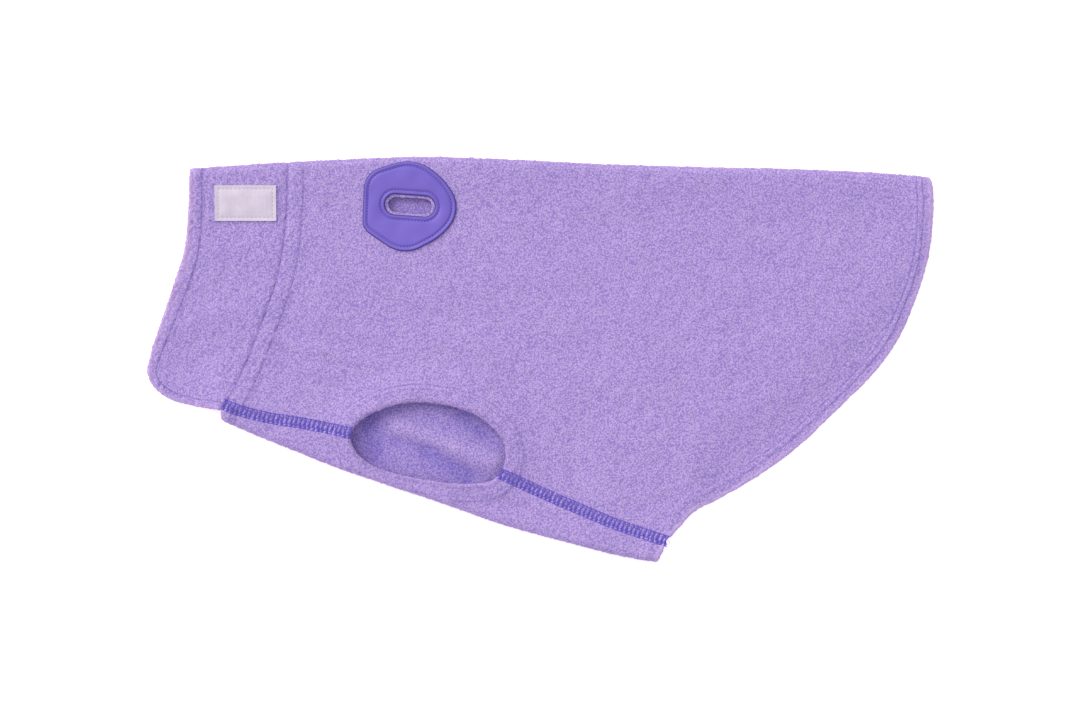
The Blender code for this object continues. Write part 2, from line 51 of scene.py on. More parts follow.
# %% [markdown]
# ## Sizes
# The cloth's thickness, the air between the layers and the bulge of the folds are the CAD
# model's. Sewn edges, which the CAD model keeps apart, all but touch here. The tables are the
# garment's edges seen from above, X towards the tail and Y towards the spine.

# %% Sizes of the cloth
WALL = 2.4
LAYER_GAP = 0.8
SEAM_GAP = 0.04
FOLD_REACH, FOLD_LIFT, FOLD_SPREAD = 3.6, 2.0, 30.0
DRAPE_START, DRAPE_END = 0.5, 32.0

TOP_FOLD = np.array((       # x, y
    (-195.7, 106.7), (-156.5, 109.5), (-111.7, 111.9), (-66.0, 113.5), (-22.1, 112.3),
    (33.9, 109.5), (89.9, 107.8), (145.9, 106.5), (201.9, 103.6), (219.8, 101.9)))
CHEST_SECTIONS = np.array((  # x, y of the near side seam, y of the bottom fold
    (-179.4, -24.2, -33.4), (-165.0, -29.5, -39.8), (-150.0, -33.0, -46.0),
    (-134.0, -35.5, -52.4), (-112.0, -39.8, -61.1), (-89.0, -45.0, -69.0),
    (-56.0, -52.5, -79.9), (-22.0, -63.9, -92.0), (0.0, -74.1, -98.3),
    (18.0, -81.9, -103.0), (44.0, -92.7, -109.7), (70.8, -101.6, -114.3)))
SEAM_START, SEAM_END = -176.2, 70.8

# %% Edges of the near layer
NEAR_NECK = np.array((      # x, y, from the side seam to the top fold
    (-178.6, -28.4), (-172.4, -18.8), (-166.9, -8.1), (-159.3, 10.6), (-152.7, 27.8),
    (-147.4, 43.6), (-143.4, 63.4), (-141.5, 83.3), (-140.8, 109.8)))
NEAR_COLLAR = np.array((    # x, y, from the side seam round the free corner to the top fold
    (-178.6, -28.4), (-194.5, -25.9), (-209.0, -21.4), (-217.2, -14.6), (-220.2, -7.0),
    (-218.8, 1.0), (-211.8, 22.1), (-204.1, 44.5), (-198.8, 62.0), (-197.0, 80.0),
    (-195.7, 106.7)))
NEAR_THROAT = np.array(((-178.5, -28.6), (-178.8, -30.0), (-179.4, -33.4)))
NEAR_TAIL = np.array((      # x, y, from the side seam to the top fold
    (70.8, -101.6), (77.5, -95.1), (86.1, -85.7), (98.6, -79.2), (118.3, -68.1),
    (149.1, -45.5), (162.6, -32.5), (173.5, -22.0), (184.3, -11.3), (200.8, 10.6),
    (210.7, 33.2), (217.6, 55.7), (220.5, 84.0), (219.8, 101.9)))
NEAR_BELLY = np.array(((70.8, -101.6), (69.2, -106.7), (66.6, -112.9)))

# %% Edges of the far layer, the same cloth rolled towards the spine's side
FAR_SHIFT = np.array((      # x on the near layer, shift in x, shift in y
    (-178.0, 11.8, 40.9), (-120.0, 6.0, 48.0), (-61.0, 3.4, 52.0), (0.0, 4.5, 52.5),
    (71.0, 9.0, 49.8), (150.0, 2.0, 50.5), (220.0, 0.5, 50.5)))
FAR_TAIL_TOP = 88.0
FAR_NECK = np.array((
    (-166.8, 12.5), (-158.4, 33.0), (-152.5, 50.0), (-147.0, 69.0), (-143.0, 90.0),
    (-140.8, 109.8)))
FAR_COLLAR = np.array((
    (-166.8, 12.5), (-187.5, 19.6), (-198.0, 26.0), (-201.6, 35.0), (-199.0, 46.0),
    (-195.6, 62.0), (-194.6, 84.0), (-195.7, 106.7)))
FAR_THROAT = np.array(((-166.6, 12.3), (-173.4, -11.0), (-179.4, -33.4)))
FAR_BELLY = np.array(((79.8, -51.8), (73.0, -84.0), (66.6, -112.9)))

# %% Leg hole, leash slot, patch and label
LEG_HOLE = np.array((       # x, y, anticlockwise
    (-19.0, -54.5), (-19.9, -47.0), (-24.0, -40.6), (-31.8, -33.5), (-42.5, -28.3),
    (-56.0, -25.0), (-70.0, -24.0), (-83.0, -26.1), (-94.5, -30.8), (-102.0, -35.9),
    (-105.8, -42.8), (-103.0, -50.8), (-94.1, -59.0), (-82.0, -63.5), (-66.0, -67.0),
    (-50.0, -69.0), (-36.0, -69.4), (-26.6, -67.5), (-21.0, -62.0)))
SLOT_CENTRE, SLOT_TILT = np.array((-72.5, 86.2)), -4.0
CLOTH_SLOT, PATCH_SLOT = (24.6, 8.7), (27.8, 11.3)
PATCH_CORNERS = (           # x, y from the slot's centre, radius
    (30.1, -1.9, 17.1), (19.3, 14.4, 36.0), (3.3, 27.2, 22.2), (-25.5, 18.3, 13.1),
    (-26.8, -13.0, 8.6), (-3.8, -28.8, 18.4), (17.7, -17.5, 33.9))
LABEL_CENTRE, LABEL_SIZE = (-164.5, 87.5), (34.4, 19.9)

# %% [markdown]
# ## Lines and loops
# A sewer draws a pattern piece from a few marks and a curved ruler. The same is done here:
# a smooth cubic runs through each table's marks, and everything else, such as a stitch line
# or the edge of a hem, is found by its distance from that curve.

# %% Curves through marks
def smooth_between(known, values, wanted):
    """Hermite cubic: each value blends its neighbours' heights and slopes by how far along
    the interval it lies."""
    slopes = np.gradient(values, known, axis=0)
    low = np.clip(np.searchsorted(known, wanted, side="right") - 1, 0, len(known) - 2)
    width = known[low + 1] - known[low]
    t = (wanted - known[low]) / width
    if values.ndim == 2:
        t, width = t[:, None], width[:, None]
    return ((1 + 2 * t) * (1 - t) ** 2 * values[low] + t * t * (3 - 2 * t) * values[low + 1]
            + t * (1 - t) ** 2 * width * slopes[low] + t * t * (t - 1) * width * slopes[low + 1])


def run_along(line):
    """Length along a polyline at each of its points."""
    return np.concatenate([[0.0], np.cumsum(np.linalg.norm(np.diff(line, axis=0), axis=1))])


def at_shares(line, shares):
    """Points of a polyline at the given shares of its length."""
    places = run_along(line)
    return np.stack([np.interp(shares * places[-1], places, line[:, k])
                     for k in range(line.shape[1])], axis=1)


def spaced(line, step):
    """The same polyline with its points about a step apart."""
    return at_shares(line, np.linspace(0.0, 1.0, int(round(run_along(line)[-1] / step)) + 1))


def through(marks, step=1.6):
    """A fine polyline on the smooth curve through the marks."""
    places = run_along(marks)
    return smooth_between(places, marks, np.linspace(0.0, places[-1], int(places[-1] / step) + 2))


def unit(vectors):
    """The same directions, each a length of one."""
    return vectors / np.linalg.norm(vectors, axis=-1)[..., None]


def left_of(line):
    """Unit normals to the left of a polyline's direction."""
    along = unit(np.gradient(line, axis=0))
    return np.stack([-along[:, 1], along[:, 0]], axis=1)


def left_of_ring(loop):
    """The same for a closed loop."""
    along = unit(np.roll(loop, -1, axis=0) - np.roll(loop, 1, axis=0))
    return np.stack([-along[:, 1], along[:, 0]], axis=1)


# %% Distances, insides and soft steps
BLOCK = 4000                # points measured at once, to keep the arrays small


def in_blocks(measure, points):
    blocks = np.array_split(points, len(points) // BLOCK + 1)
    return np.concatenate([measure(block) for block in blocks])


def over_grid(measure, plan, *options):
    """A measure of points, such as their height, at every point of a grid."""
    return measure(plan.reshape(-1, 2), *options).reshape(plan.shape[:2])


def distance(points, line):
    """Least distance from each point to a polyline: the foot of the perpendicular on each
    piece, kept between its ends, and then the nearest of the pieces."""
    start, step = line[:-1], np.diff(line, axis=0)
    length = np.maximum((step ** 2).sum(axis=1), 1e-12)

    def nearest(block):
        away = block[:, None] - start
        share = np.clip((away * step).sum(axis=2) / length, 0.0, 1.0)
        return np.linalg.norm(away - share[..., None] * step, axis=2).min(axis=1)
    return in_blocks(nearest, points)


def inside(points, loop):
    """Which points lie in a loop: those whose ray to the right crosses it an odd number of
    times."""
    ahead = np.roll(loop, -1, axis=0)
    rise = np.where(ahead[:, 1] == loop[:, 1], 1.0, ahead[:, 1] - loop[:, 1])

    def odd(block):
        x, y = block[:, :1], block[:, 1:]
        spans = (loop[:, 1] > y) != (ahead[:, 1] > y)
        crosses = spans & (x < (ahead - loop)[:, 0] * (y - loop[:, 1]) / rise + loop[:, 0])
        return crosses.sum(axis=1) % 2 == 1
    return in_blocks(odd, points)


def closed(loop):
    return np.concatenate([loop, loop[:1]])


def smoothstep(low, high, value):
    t = np.clip((value - low) / (high - low), 0.0, 1.0)
    return t * t * (3.0 - 2.0 * t)


def turned(points, degrees, centre):
    tilt = math.radians(degrees)
    turn = np.array(((math.cos(tilt), math.sin(tilt)), (-math.sin(tilt), math.cos(tilt))))
    return points @ turn + centre


# %% Closed shapes: the leg hole, the slot and the patch's outline
def leg_rim(count=720):
    """The smooth cubic through the hole's marks. They are lapped by two at each end, so that
    the curve closes smoothly."""
    lapped = np.concatenate([LEG_HOLE[-2:], LEG_HOLE, LEG_HOLE[:3]])
    places = run_along(lapped)
    wanted = np.linspace(places[2], places[2 + len(LEG_HOLE)], count + 1)[:-1]
    return smooth_between(places, lapped, wanted)


def slot_rim(size, count=360):
    """Two half circles joined by straight sides, in even steps from the +X end."""
    radius = 0.5 * size[1]
    angle = np.linspace(0.0, 2.0 * math.pi, 721)
    middle = np.sign(np.cos(angle)) * (0.5 * size[0] - radius)
    line = np.stack([middle + radius * np.cos(angle), radius * np.sin(angle)], axis=1)
    return turned(at_shares(line, np.arange(count) / count), SLOT_TILT, SLOT_CENTRE)


def rounded(corners, sides=12):
    """Polygon whose corners are arcs: each centre lies on the corner's bisector."""
    loop = []
    for index, (x, y, radius) in enumerate(corners):
        corner = np.array([x, y])
        before = np.array(corners[index - 1][:2]) - corner
        after = np.array(corners[(index + 1) % len(corners)][:2]) - corner
        before /= np.linalg.norm(before)
        after /= np.linalg.norm(after)
        half = 0.5 * math.acos(float(before @ after))
        middle = (before + after) / np.linalg.norm(before + after)
        centre = corner + middle * radius / math.sin(half)
        foot = corner + before * radius / math.tan(half) - centre
        angle = math.atan2(foot[1], foot[0]) + np.linspace(0.0, math.pi - 2.0 * half, sides + 1)
        loop.append(centre + radius * np.stack([np.cos(angle), np.sin(angle)], axis=1))
    return np.concatenate(loop)


RIM = leg_rim()
CLOTH_RIM = slot_rim(CLOTH_SLOT)
print("leg hole rim", round(run_along(closed(RIM))[-1], 1), "mm round")

# %% [markdown]
# ## Where the edges run
# Each panel is a four-sided piece of plan on either layer. The side seam is carried straight
# across the leg hole, and the hole is cut out afterwards, because a plain four-sided grid is
# easier to fill than one with a bite out of its side.

# %% Folds, seams and the far layer's shift
def run_over(table, column, start, end, count):
    """A line over even steps in X, on the smooth curve through a table's marks."""
    xs = np.linspace(start, end, count)
    return np.stack([xs, smooth_between(table[:, 0], table[:, column], xs)], axis=1)


def rolled(points):
    """Where points of the near layer are found again on the far one."""
    reach = np.clip(points[:, 0], FAR_SHIFT[0, 0], FAR_SHIFT[-1, 0])
    return points + smooth_between(FAR_SHIFT[:, 0], FAR_SHIFT[:, 1:], reach)


def shoulder(table, column, start, end, outward):
    """The line where a fold begins, and the way out from it: the fold line moved inwards by
    the fold's reach."""
    line = run_over(table, column, start, end, 400)
    way = left_of(line) * outward
    return line - way * FOLD_REACH, way


END_SPACE = 0.8             # least distance from an edge's ends to its next point


def edge_line(marks, start, end, way, shift=0.0):
    """An edge from the seam to a fold's shoulder, along the curve through its marks."""
    line = through(marks) + [shift, 0.0]
    from_start = np.linalg.norm(line - start, axis=1)
    keep = (end - line) @ way > END_SPACE
    keep &= (from_start > END_SPACE) & (np.arange(len(line)) >= np.argmin(from_start))
    return np.concatenate([[start], line[keep], [end]])


def edge_curves(rim, **marks):
    """A fine line along each named edge, and one along the leg hole's rim."""
    return {name: through(table) for name, table in marks.items()} | {"leg": closed(rim[::2])}


# %% The lines that every panel shares
HALF_GAP = np.array([0.0, 0.5 * SEAM_GAP])
NECK_X, NECK_SHIFT = NEAR_NECK[-1, 0], 0.5 * SEAM_GAP
BACK_TOP, BACK_UP = shoulder(TOP_FOLD, 1, NECK_X + NECK_SHIFT, TOP_FOLD[-1, 0], 1.0)
COLLAR_TOP, COLLAR_UP = shoulder(TOP_FOLD, 1, TOP_FOLD[0, 0], NECK_X - NECK_SHIFT, 1.0)
CHEST_LOW, CHEST_DOWN = shoulder(CHEST_SECTIONS, 2, NEAR_THROAT[-1, 0], NEAR_BELLY[-1, 0], -1.0)
SEAM = run_over(CHEST_SECTIONS, 1, SEAM_START, SEAM_END, 600)
FAR_RIM = rolled(RIM)
FAR_TAIL = rolled(NEAR_TAIL)
FAR_TAIL = np.concatenate([FAR_TAIL[FAR_TAIL[:, 1] < FAR_TAIL_TOP], TOP_FOLD[-1:]])
HEM_LINES = edge_curves(RIM, tail=NEAR_TAIL, belly=NEAR_BELLY, throat=NEAR_THROAT,
                        collar=NEAR_COLLAR, neck=NEAR_NECK)
FAR_LINES = edge_curves(FAR_RIM, tail=FAR_TAIL, belly=FAR_BELLY, throat=FAR_THROAT,
                        collar=FAR_COLLAR, neck=FAR_NECK)
FAR_LAYER = np.concatenate([
    FAR_LINES["throat"][::-1], FAR_LINES["collar"][:-5], COLLAR_TOP, BACK_TOP,
    FAR_LINES["tail"][::-1][5:], FAR_LINES["belly"][:-5], CHEST_LOW[::-1]])[::2]
print("far layer's outline:", len(FAR_LAYER), "points")

# %% [markdown]
# ## Creases
# The sweater was smoothed out by hand before it was photographed, so its creases are faint: a few
# soft hollows that run from the neck to the leg hole, a long shallow one across the back, and
# some dents where the cloth was held. Cloth simulation would fold a tube like this at random.
# Listed one by one, each crease is a soft trough or ridge beside a short line.

# %% Creases, listed one by one
CREASES = np.array((        # x, y at one end, x, y at the other, half width, height
    (-165.0, 8.0, -96.0, -8.0, 4.0, -0.55),
    (-160.0, -2.0, -104.0, -20.0, 3.6, -0.50),
    (-150.0, 20.0, -84.0, 4.0, 5.0, -0.45),
    (-158.0, 14.0, -120.0, 4.0, 3.5, 0.45),
    (-138.0, 28.0, -133.0, 44.0, 3.0, -0.60),
    (-128.0, 34.0, -124.0, 52.0, 3.2, -0.45),
    (-104.0, 34.0, -40.0, 22.0, 8.0, -0.55),
    (-40.0, 24.0, 18.0, 6.0, 8.0, -0.50),
    (-96.0, 14.0, -40.0, 6.0, 7.0, 0.45),
    (-62.0, -6.0, -28.0, -12.0, 6.0, 0.50),
    (28.0, -26.0, 74.0, -34.0, 10.0, -0.50),
    (86.0, -38.0, 104.0, -60.0, 8.0, -0.60),
    (-2.0, -38.0, 26.0, -46.0, 6.0, -0.45),
    (104.0, 62.0, 112.0, 52.0, 7.0, -0.45),
    (118.0, 52.0, 184.0, 48.0, 4.0, -0.35),
    (168.0, 0.0, 188.0, 10.0, 7.0, -0.45),
    (60.0, 40.0, 60.0, -6.0, 12.0, 0.35),
    (-206.0, 8.0, -172.0, 16.0, 5.0, -0.50),
    (-200.0, 4.0, -190.0, -6.0, 6.0, -0.60),
    (-202.0, 22.0, -160.0, 28.0, 6.0, 0.40),
    (-188.0, 52.0, -158.0, 50.0, 6.0, -0.30),
    (-20.0, -80.0, 4.0, -90.0, 3.5, -0.35),
    (-150.0, -38.0, -118.0, -48.0, 3.0, -0.30)))
FAR_CREASES = np.array((    # the same on the far layer's inside, seen through the leg hole
    (-78.0, -38.0, -26.0, -58.0, 4.5, 1.80),
    (-80.0, -46.0, -62.0, -51.0, 4.0, -0.90),
    (-62.0, -53.0, -40.0, -66.0, 4.6, -1.90),
    (-96.0, -33.0, -93.0, -52.0, 7.0, -1.50),
    (-44.0, -32.0, -30.0, -42.0, 5.0, -1.30)))


def creases(points, table=CREASES):
    """Sum over a table of height times a bell curve of the distance to the crease's line."""
    start, end = table[:, :2], table[:, 2:4]
    step = end - start
    away = points[:, None] - start
    share = np.clip((away * step).sum(axis=2) / (step ** 2).sum(axis=1), 0.0, 1.0)
    off = np.linalg.norm(away - share[..., None] * step, axis=2)
    return (table[:, 5] * np.exp(-(off / table[:, 4]) ** 2)).sum(axis=1)


def ripples(points, length, seed, waves=28):
    """Unevenness with no direction: sines of like wavelength, each along its own way."""
    source = np.random.default_rng(seed)
    angle = source.uniform(0.0, 2.0 * math.pi, waves)
    pace = 2.0 * math.pi / (length * source.uniform(0.7, 1.4, waves))
    phase = source.uniform(0.0, 2.0 * math.pi, waves)
    way = np.stack([np.cos(angle), np.sin(angle)]) * pace
    return np.sin(points[:, :2] @ way + phase).sum(axis=1) / math.sqrt(0.5 * waves)


# %% [markdown]
# ## Heights of the near layer
# The near layer lies on the far one, rises towards each fold, and falls to the ground where
# it reaches past the far layer. A hem is cloth folded back, so it is thicker, and its edge is
# round. The flatlock seam presses the cloth flat, and the neck seam makes a narrow groove.

# %% Heights of the near layer
HEMS = {                    # width and extra height of the doubled cloth
    "tail": (9.5, 0.7), "belly": (9.5, 0.7), "leg": (10.1, 0.8), "throat": (6.5, 0.6),
    "collar": (6.5, 0.5), "neck": (8.7, 0.6)}
HEM_SLOPE = 1.8             # half the width of a hem's soft inner step
EDGE_RADIUS = {"tail": 1.3, "belly": 1.3, "leg": 1.1, "throat": 1.3, "collar": 1.3}
EDGE_SHARE = 0.12           # share of the thickness that is left upright at a free edge
FLATLOCK_REACH, FLATLOCK_PRESS = 3.6, 0.6
NECK_REACH, NECK_PRESS = 2.4, 0.35
RIM_REACH, RIM_LIFT = 26.0, 2.9     # the cloth stands up a little round the leg hole
RIM_CLEAR = 2.0, 14.0       # distances from a fold over which that lift comes up in full
SOFTNESS = (0.18, 34.0, 3), (0.10, 11.0, 4)     # the cloth's ripples: height, length, seed
FUZZ = 0.14, 3.4, 5         # the same for the nap's lumps
TAIL_ROWS, LEG_ROWS, NECK_ROWS = (6.2, 9.5), (7.4, 10.1), (8.8, 11.6)   # stitch lines' places
COLLAR_HEM = np.array((     # y, distance of the collar's stitch line from its free edge
    (-26.0, 4.4), (-12.0, 4.7), (10.0, 6.6), (40.0, 8.3), (80.0, 7.9), (107.0, 6.9)))
TAIL_HEM = np.array((       # y, how much nearer to its edge the tail's hem is sewn there
    (-74.0, 0.6), (-62.0, 0.8), (-45.0, 0.8), (-31.0, 1.1), (-18.0, 1.7), (-5.0, 1.1),
    (10.0, 1.4), (26.0, 1.4), (43.0, 1.7), (60.0, 1.1), (78.0, 0.5), (95.0, 0.3)))


def from_edge(points, name, lines):
    """Distance from an edge. Hems were turned by eye and have no even width, so the collar's
    distances are scaled, and the tail's are moved on beyond the first millimetres, to put
    their stitch lines at the table values everywhere."""
    away = distance(points, lines[name])
    if name == "collar":
        away *= HEMS["collar"][0] / np.interp(points[:, 1], *COLLAR_HEM.T)
    if name == "tail":
        away += np.interp(points[:, 1], *TAIL_HEM.T) * smoothstep(0.0, 4.0, away)
    return away


def resting(points):
    """Height of the near layer's underside: the far layer's top and the air above it, with
    the rise beside a fold, times how far the cloth still lies on the far layer."""
    past = np.where(inside(points, FAR_LAYER), 0.0, distance(points, closed(FAR_LAYER)))
    lying = 1.0 - smoothstep(DRAPE_START, DRAPE_END, past)
    top = np.concatenate([COLLAR_TOP, BACK_TOP])[::2]
    from_fold = np.minimum(distance(points, top), distance(points, CHEST_LOW[::2]))
    lift = FOLD_LIFT * (1.0 - smoothstep(0.0, FOLD_SPREAD, from_fold))
    clear = smoothstep(*RIM_CLEAR, from_fold)
    lift += RIM_LIFT * clear * (1.0 - smoothstep(0.0, RIM_REACH, distance(points, closed(RIM))))
    soft = sum((height * ripples(points, length, seed) for height, length, seed in SOFTNESS),
               creases(points))
    return (WALL + LAYER_GAP + lift) * lying + soft * lying


def patch_base(points):
    """Height of the cloth under the patch."""
    return resting(points) + WALL


def doubled(points, names, lines):
    """Extra height where the cloth is doubled: each hem's height, with a soft inner step."""
    band = np.zeros(len(points))
    for name in names:
        width, height = HEMS[name]
        fall = smoothstep(width - HEM_SLOPE, width + HEM_SLOPE, from_edge(points, name, lines))
        band = np.maximum(band, height * (1.0 - fall))
    return band


def roundness(points, names, lines):
    """Share of the full thickness near a free edge: a quarter circle that rises from the
    edge to its radius."""
    share = np.ones(len(points))
    for name in names:
        if name in EDGE_RADIUS:
            share = np.minimum(share, distance(points, lines[name]) / EDGE_RADIUS[name])
    return EDGE_SHARE + (1.0 - EDGE_SHARE) * np.sqrt(1.0 - (1.0 - share) ** 2)


def near_faces(points, names):
    """Top and underside of the near layer: its middle, plus or minus half the thickness."""
    low = resting(points)
    full = WALL + doubled(points, names, HEM_LINES)
    share = roundness(points, names, HEM_LINES)
    press = FLATLOCK_PRESS * (1.0 - smoothstep(1.0, FLATLOCK_REACH, distance(points, SEAM[::3])))
    if "neck" in names or names == ("collar",):
        away = distance(points, HEM_LINES["neck"])
        press = np.maximum(press, NECK_PRESS * (1.0 - smoothstep(0.0, NECK_REACH, away)))
    return low + 0.5 * full * (1.0 + share) - press, low + 0.5 * full * (1.0 - share)


def far_faces(points, names):
    """Underside and top of the far layer, flat on the ground, with round free edges. A ridge
    lifts both faces, and a trough only presses the top down, to a wall of 1 mm at least."""
    share = roundness(points, names, FAR_LINES)
    soft = np.maximum(creases(points, FAR_CREASES), 1.0 - WALL)
    return (0.5 * WALL * (1.0 - share) + np.maximum(soft, 0.0),
            0.5 * WALL * (1.0 + share) + soft)


def near_top(points, names=("tail", "leg", "neck")):
    return near_faces(points, names)[0]


# %% [markdown]
# ## A panel as a grid
# A panel is filled in plan from its four sides, on the near layer and again on the far one,
# and a fold joins them in a half ellipse. The grid is finer at the hems than in the field.

# %% Filling a panel in plan
def graded(length, fine, coarse, reach=12.0):
    """Shares from 0 to 1 whose steps are fine beside both ends and coarse between: the
    steps' inverse is summed up, and the sum cut into even parts."""
    place = np.linspace(0.0, length, 2000)
    from_end = np.minimum(place, length - place)
    step = fine + (coarse - fine) * smoothstep(reach, 2.5 * reach, from_end)
    count = np.concatenate([[0.0], np.cumsum(np.diff(place) / step[1:])])
    return np.interp(np.linspace(0.0, count[-1], int(count[-1]) + 1), count, place / length)


def filled(low, high, left, right, rows, columns):
    """Coons patch: the blend of the low and high sides, plus the blend of the left and right
    ones, less the blend of the four corners."""
    low, high = at_shares(low, columns), at_shares(high, columns)
    left, right = at_shares(left, rows), at_shares(right, rows)
    u, v = columns[None, :, None], rows[:, None, None]
    corners = ((1 - u) * (1 - v) * low[0] + u * (1 - v) * low[-1]
               + (1 - u) * v * high[0] + u * v * high[-1])
    return (1 - v) * low + v * high + (1 - u) * left[:, None] + u * right[:, None] - corners


RIM_SLACK = 0.35            # points this close outside a hole are moved onto its rim too


def cut_out(plan, loops):
    """Moves the grid's points that lie in a loop, or just outside it, onto the nearest point
    of its rim. Returns the plan and which points they were."""
    points = plan.reshape(-1, 2).copy()
    within = np.zeros(len(points), bool)
    for loop in loops:
        near = (np.abs(points - loop.mean(axis=0)) < np.ptp(loop, axis=0)).all(axis=1)
        index = np.nonzero(near)[0]
        held = inside(points[index], loop) | (distance(points[index], closed(loop)) < RIM_SLACK)
        index = index[held]
        points[index] = in_blocks(lambda block: loop[np.linalg.norm(
            block[:, None] - loop, axis=2).argmin(axis=1)], points[index])
        within[index] = True
    return points.reshape(plan.shape), within.reshape(plan.shape[:2])


# %% From a plan to a folded sheet
FOLD_ROWS = 10
CORNER = 2.3                # length over which a fold dies out at a free end


def dying_out(way, line, ends):
    """The ways out of a fold, shortened as a quarter circle towards its free ends, so that
    the corner there is round."""
    run = run_along(line)
    away = np.full(len(run), CORNER)
    if "start" in ends:
        away = np.minimum(away, run)
    if "end" in ends:
        away = np.minimum(away, run[-1] - run)
    return way * np.sqrt(1.0 - (1.0 - away / CORNER) ** 2)[:, None]


def wavered(plan, amount=0.13, length=3.0):
    """A plan with its points moved a little, so that no cloth edge is a perfect curve."""
    flat = plan.reshape(-1, 2)
    move = np.stack([ripples(flat, length, seed) for seed in (8, 9)], axis=1)
    return plan + amount * move.reshape(plan.shape)


def folded(near, far, way, names, near_loops, far_loops):
    """Outer points, inner points and cut marks of a panel, row by row: the near layer, a
    half ellipse round the fold, and the far layer. The ellipse's height is the near layer's
    and its reach is the fold's."""
    near, near_cut = cut_out(near, near_loops)
    far, far_cut = cut_out(far, far_loops)
    top, low = (z.reshape(near.shape[:2]) for z in near_faces(near.reshape(-1, 2), names))
    under, over = (z.reshape(far.shape[:2]) for z in far_faces(far.reshape(-1, 2), names))
    fuzz = FUZZ[0] * over_grid(ripples, near, *FUZZ[1:])
    near, far = wavered(near), wavered(far)
    skins = []
    for lumps, upper, lower, reach in ((fuzz, top, under, FOLD_REACH),
                                       (0.0, low, over, FOLD_REACH - WALL)):
        rows = [np.dstack([near, upper + lumps])]
        for angle in np.linspace(0.0, math.pi, FOLD_ROWS + 1)[1:-1]:
            z = lower[0] + (upper[-1] - lower[0]) * 0.5 * (1.0 + math.cos(angle))
            bend = near[-1] + way * (reach * math.sin(angle))
            rows.append(np.column_stack([bend, z])[None])
        skins.append(np.concatenate(rows + [np.dstack([far[1:], lower[1:]])]))
    bend_cut = np.zeros((FOLD_ROWS - 1, near.shape[1]), bool)
    return *skins, np.concatenate([near_cut, bend_cut, far_cut[1:]])


def edge_field(near, far, names):
    """Distances that the stitch lines are drawn by, for every point of a folded sheet: to the
    free edge, to the leg hole's rim and to the neck seam. The fold repeats the near row."""
    layers = []
    for plan, lines in ((near, HEM_LINES), (far, FAR_LINES)):
        flat = plan.reshape(-1, 2)
        free = [from_edge(flat, name, lines) for name in names if name not in ("leg", "neck")]
        leg = distance(flat, lines["leg"]) if "leg" in names else np.full(len(flat), 99.0)
        field = np.stack([np.min(free, axis=0), leg, distance(flat, lines["neck"])], axis=1)
        layers.append(field.reshape(*plan.shape[:2], 3))
    bend = np.repeat(layers[0][-1:], FOLD_ROWS - 1, axis=0)
    return np.concatenate([layers[0], bend, layers[1][1:]]).reshape(-1, 3)


# %% Closing a sheet into a wall
def walled(outer, inner, cut, flip):
    """Quads between neighbouring grid points, the same quads turned round on the inner
    points, and a wall of quads along each side that only one quad has. Returns also which
    grid point each point is, and which points are inner ones."""
    rows, columns = cut.shape
    count = rows * columns
    index = np.arange(count).reshape(rows, columns)
    quads = np.stack([index[:-1, :-1], index[:-1, 1:], index[1:, 1:], index[1:, :-1]],
                     axis=-1).reshape(-1, 4)
    quads = quads[~cut.reshape(-1)[quads].all(axis=1)]
    if flip:
        quads = quads[:, ::-1]
    sides = np.concatenate([quads[:, [k, (k + 1) % 4]] for k in range(4)])
    forward = sides[:, 0] * count + sides[:, 1]
    rim = sides[~np.isin(forward, sides[:, 1] * count + sides[:, 0])]
    walls = np.stack([rim[:, 1], rim[:, 0], rim[:, 0] + count, rim[:, 1] + count], axis=1)
    faces = np.concatenate([quads, quads[:, ::-1] + count, walls])
    used, faces = np.unique(faces, return_inverse=True)
    points = np.concatenate([outer.reshape(-1, 3), inner.reshape(-1, 3)])
    return points[used], faces.reshape(-1, 4), used % count, used >= count


SHARP = math.radians(70.0)  # edges that turn more than this are shaded as edges


def placed(name, data):
    """A new object in the scene."""
    made = bpy.data.objects.new(name, data)
    bpy.context.collection.objects.link(made)
    return made


def add_piece(name, points, faces, finish, slot):
    """A mesh object at the origin, its place in its points, that rides with the cloth."""
    mesh = bpy.data.meshes.new(name)
    mesh.from_pydata((points * MM).tolist(), [], faces if isinstance(faces, list)
                     else faces.tolist())
    mesh.materials.append(finish)
    mesh.shade_smooth()
    mesh.set_sharp_from_angle(angle=SHARP)
    piece = placed(name, mesh)
    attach(piece, "root")
    mesh.calc_loop_triangles()
    print(f"{name}: {len(mesh.loop_triangles)} triangles")
    return piece


def keep_on_points(piece, name, values):
    """Keeps a number or a vector at each of a piece's points, for its finish to read."""
    kind, part = ("FLOAT", "value") if values.ndim == 1 else ("FLOAT_VECTOR", "vector")
    layer = piece.data.attributes.new(name, kind, "POINT")
    layer.data.foreach_set(part, values.astype(np.float32).ravel())


# %% [markdown]
# ## The fleece
# Fleece is knitted and then brushed, and its pile curls into small pebbles 1 to 2 mm across.
# Seen from above they are lilac tips with bluer pits between them, in soft blotches. The
# distance to points scattered in a space that noise has bent gives curls with no repeat. The
# stitch lines are drawn by the distances kept in each panel's points, so they follow the hems
# exactly however coarse the grid is.

# %% Helpers for shader nodes
def node(tree, kind, sockets=None, **options):
    """A new shader node with its options set, and its sockets given numbers or links."""
    made = tree.nodes.new("ShaderNode" + kind)
    for option, value in options.items():
        setattr(made, option, value)
    for socket, value in (sockets or {}).items():
        if isinstance(value, bpy.types.NodeSocket):
            tree.links.new(value, made.inputs[socket])
        else:
            made.inputs[socket].default_value = value
    return made


def math_node(tree, operation, a, b=0.0):
    return node(tree, "Math", {0: a, 1: b}, operation=operation).outputs[0]


def weighed(tree, a, share_a, b, share_b):
    """The sum of two values, each times its share."""
    return math_node(tree, "ADD", math_node(tree, "MULTIPLY", a, share_a),
                     math_node(tree, "MULTIPLY", b, share_b))


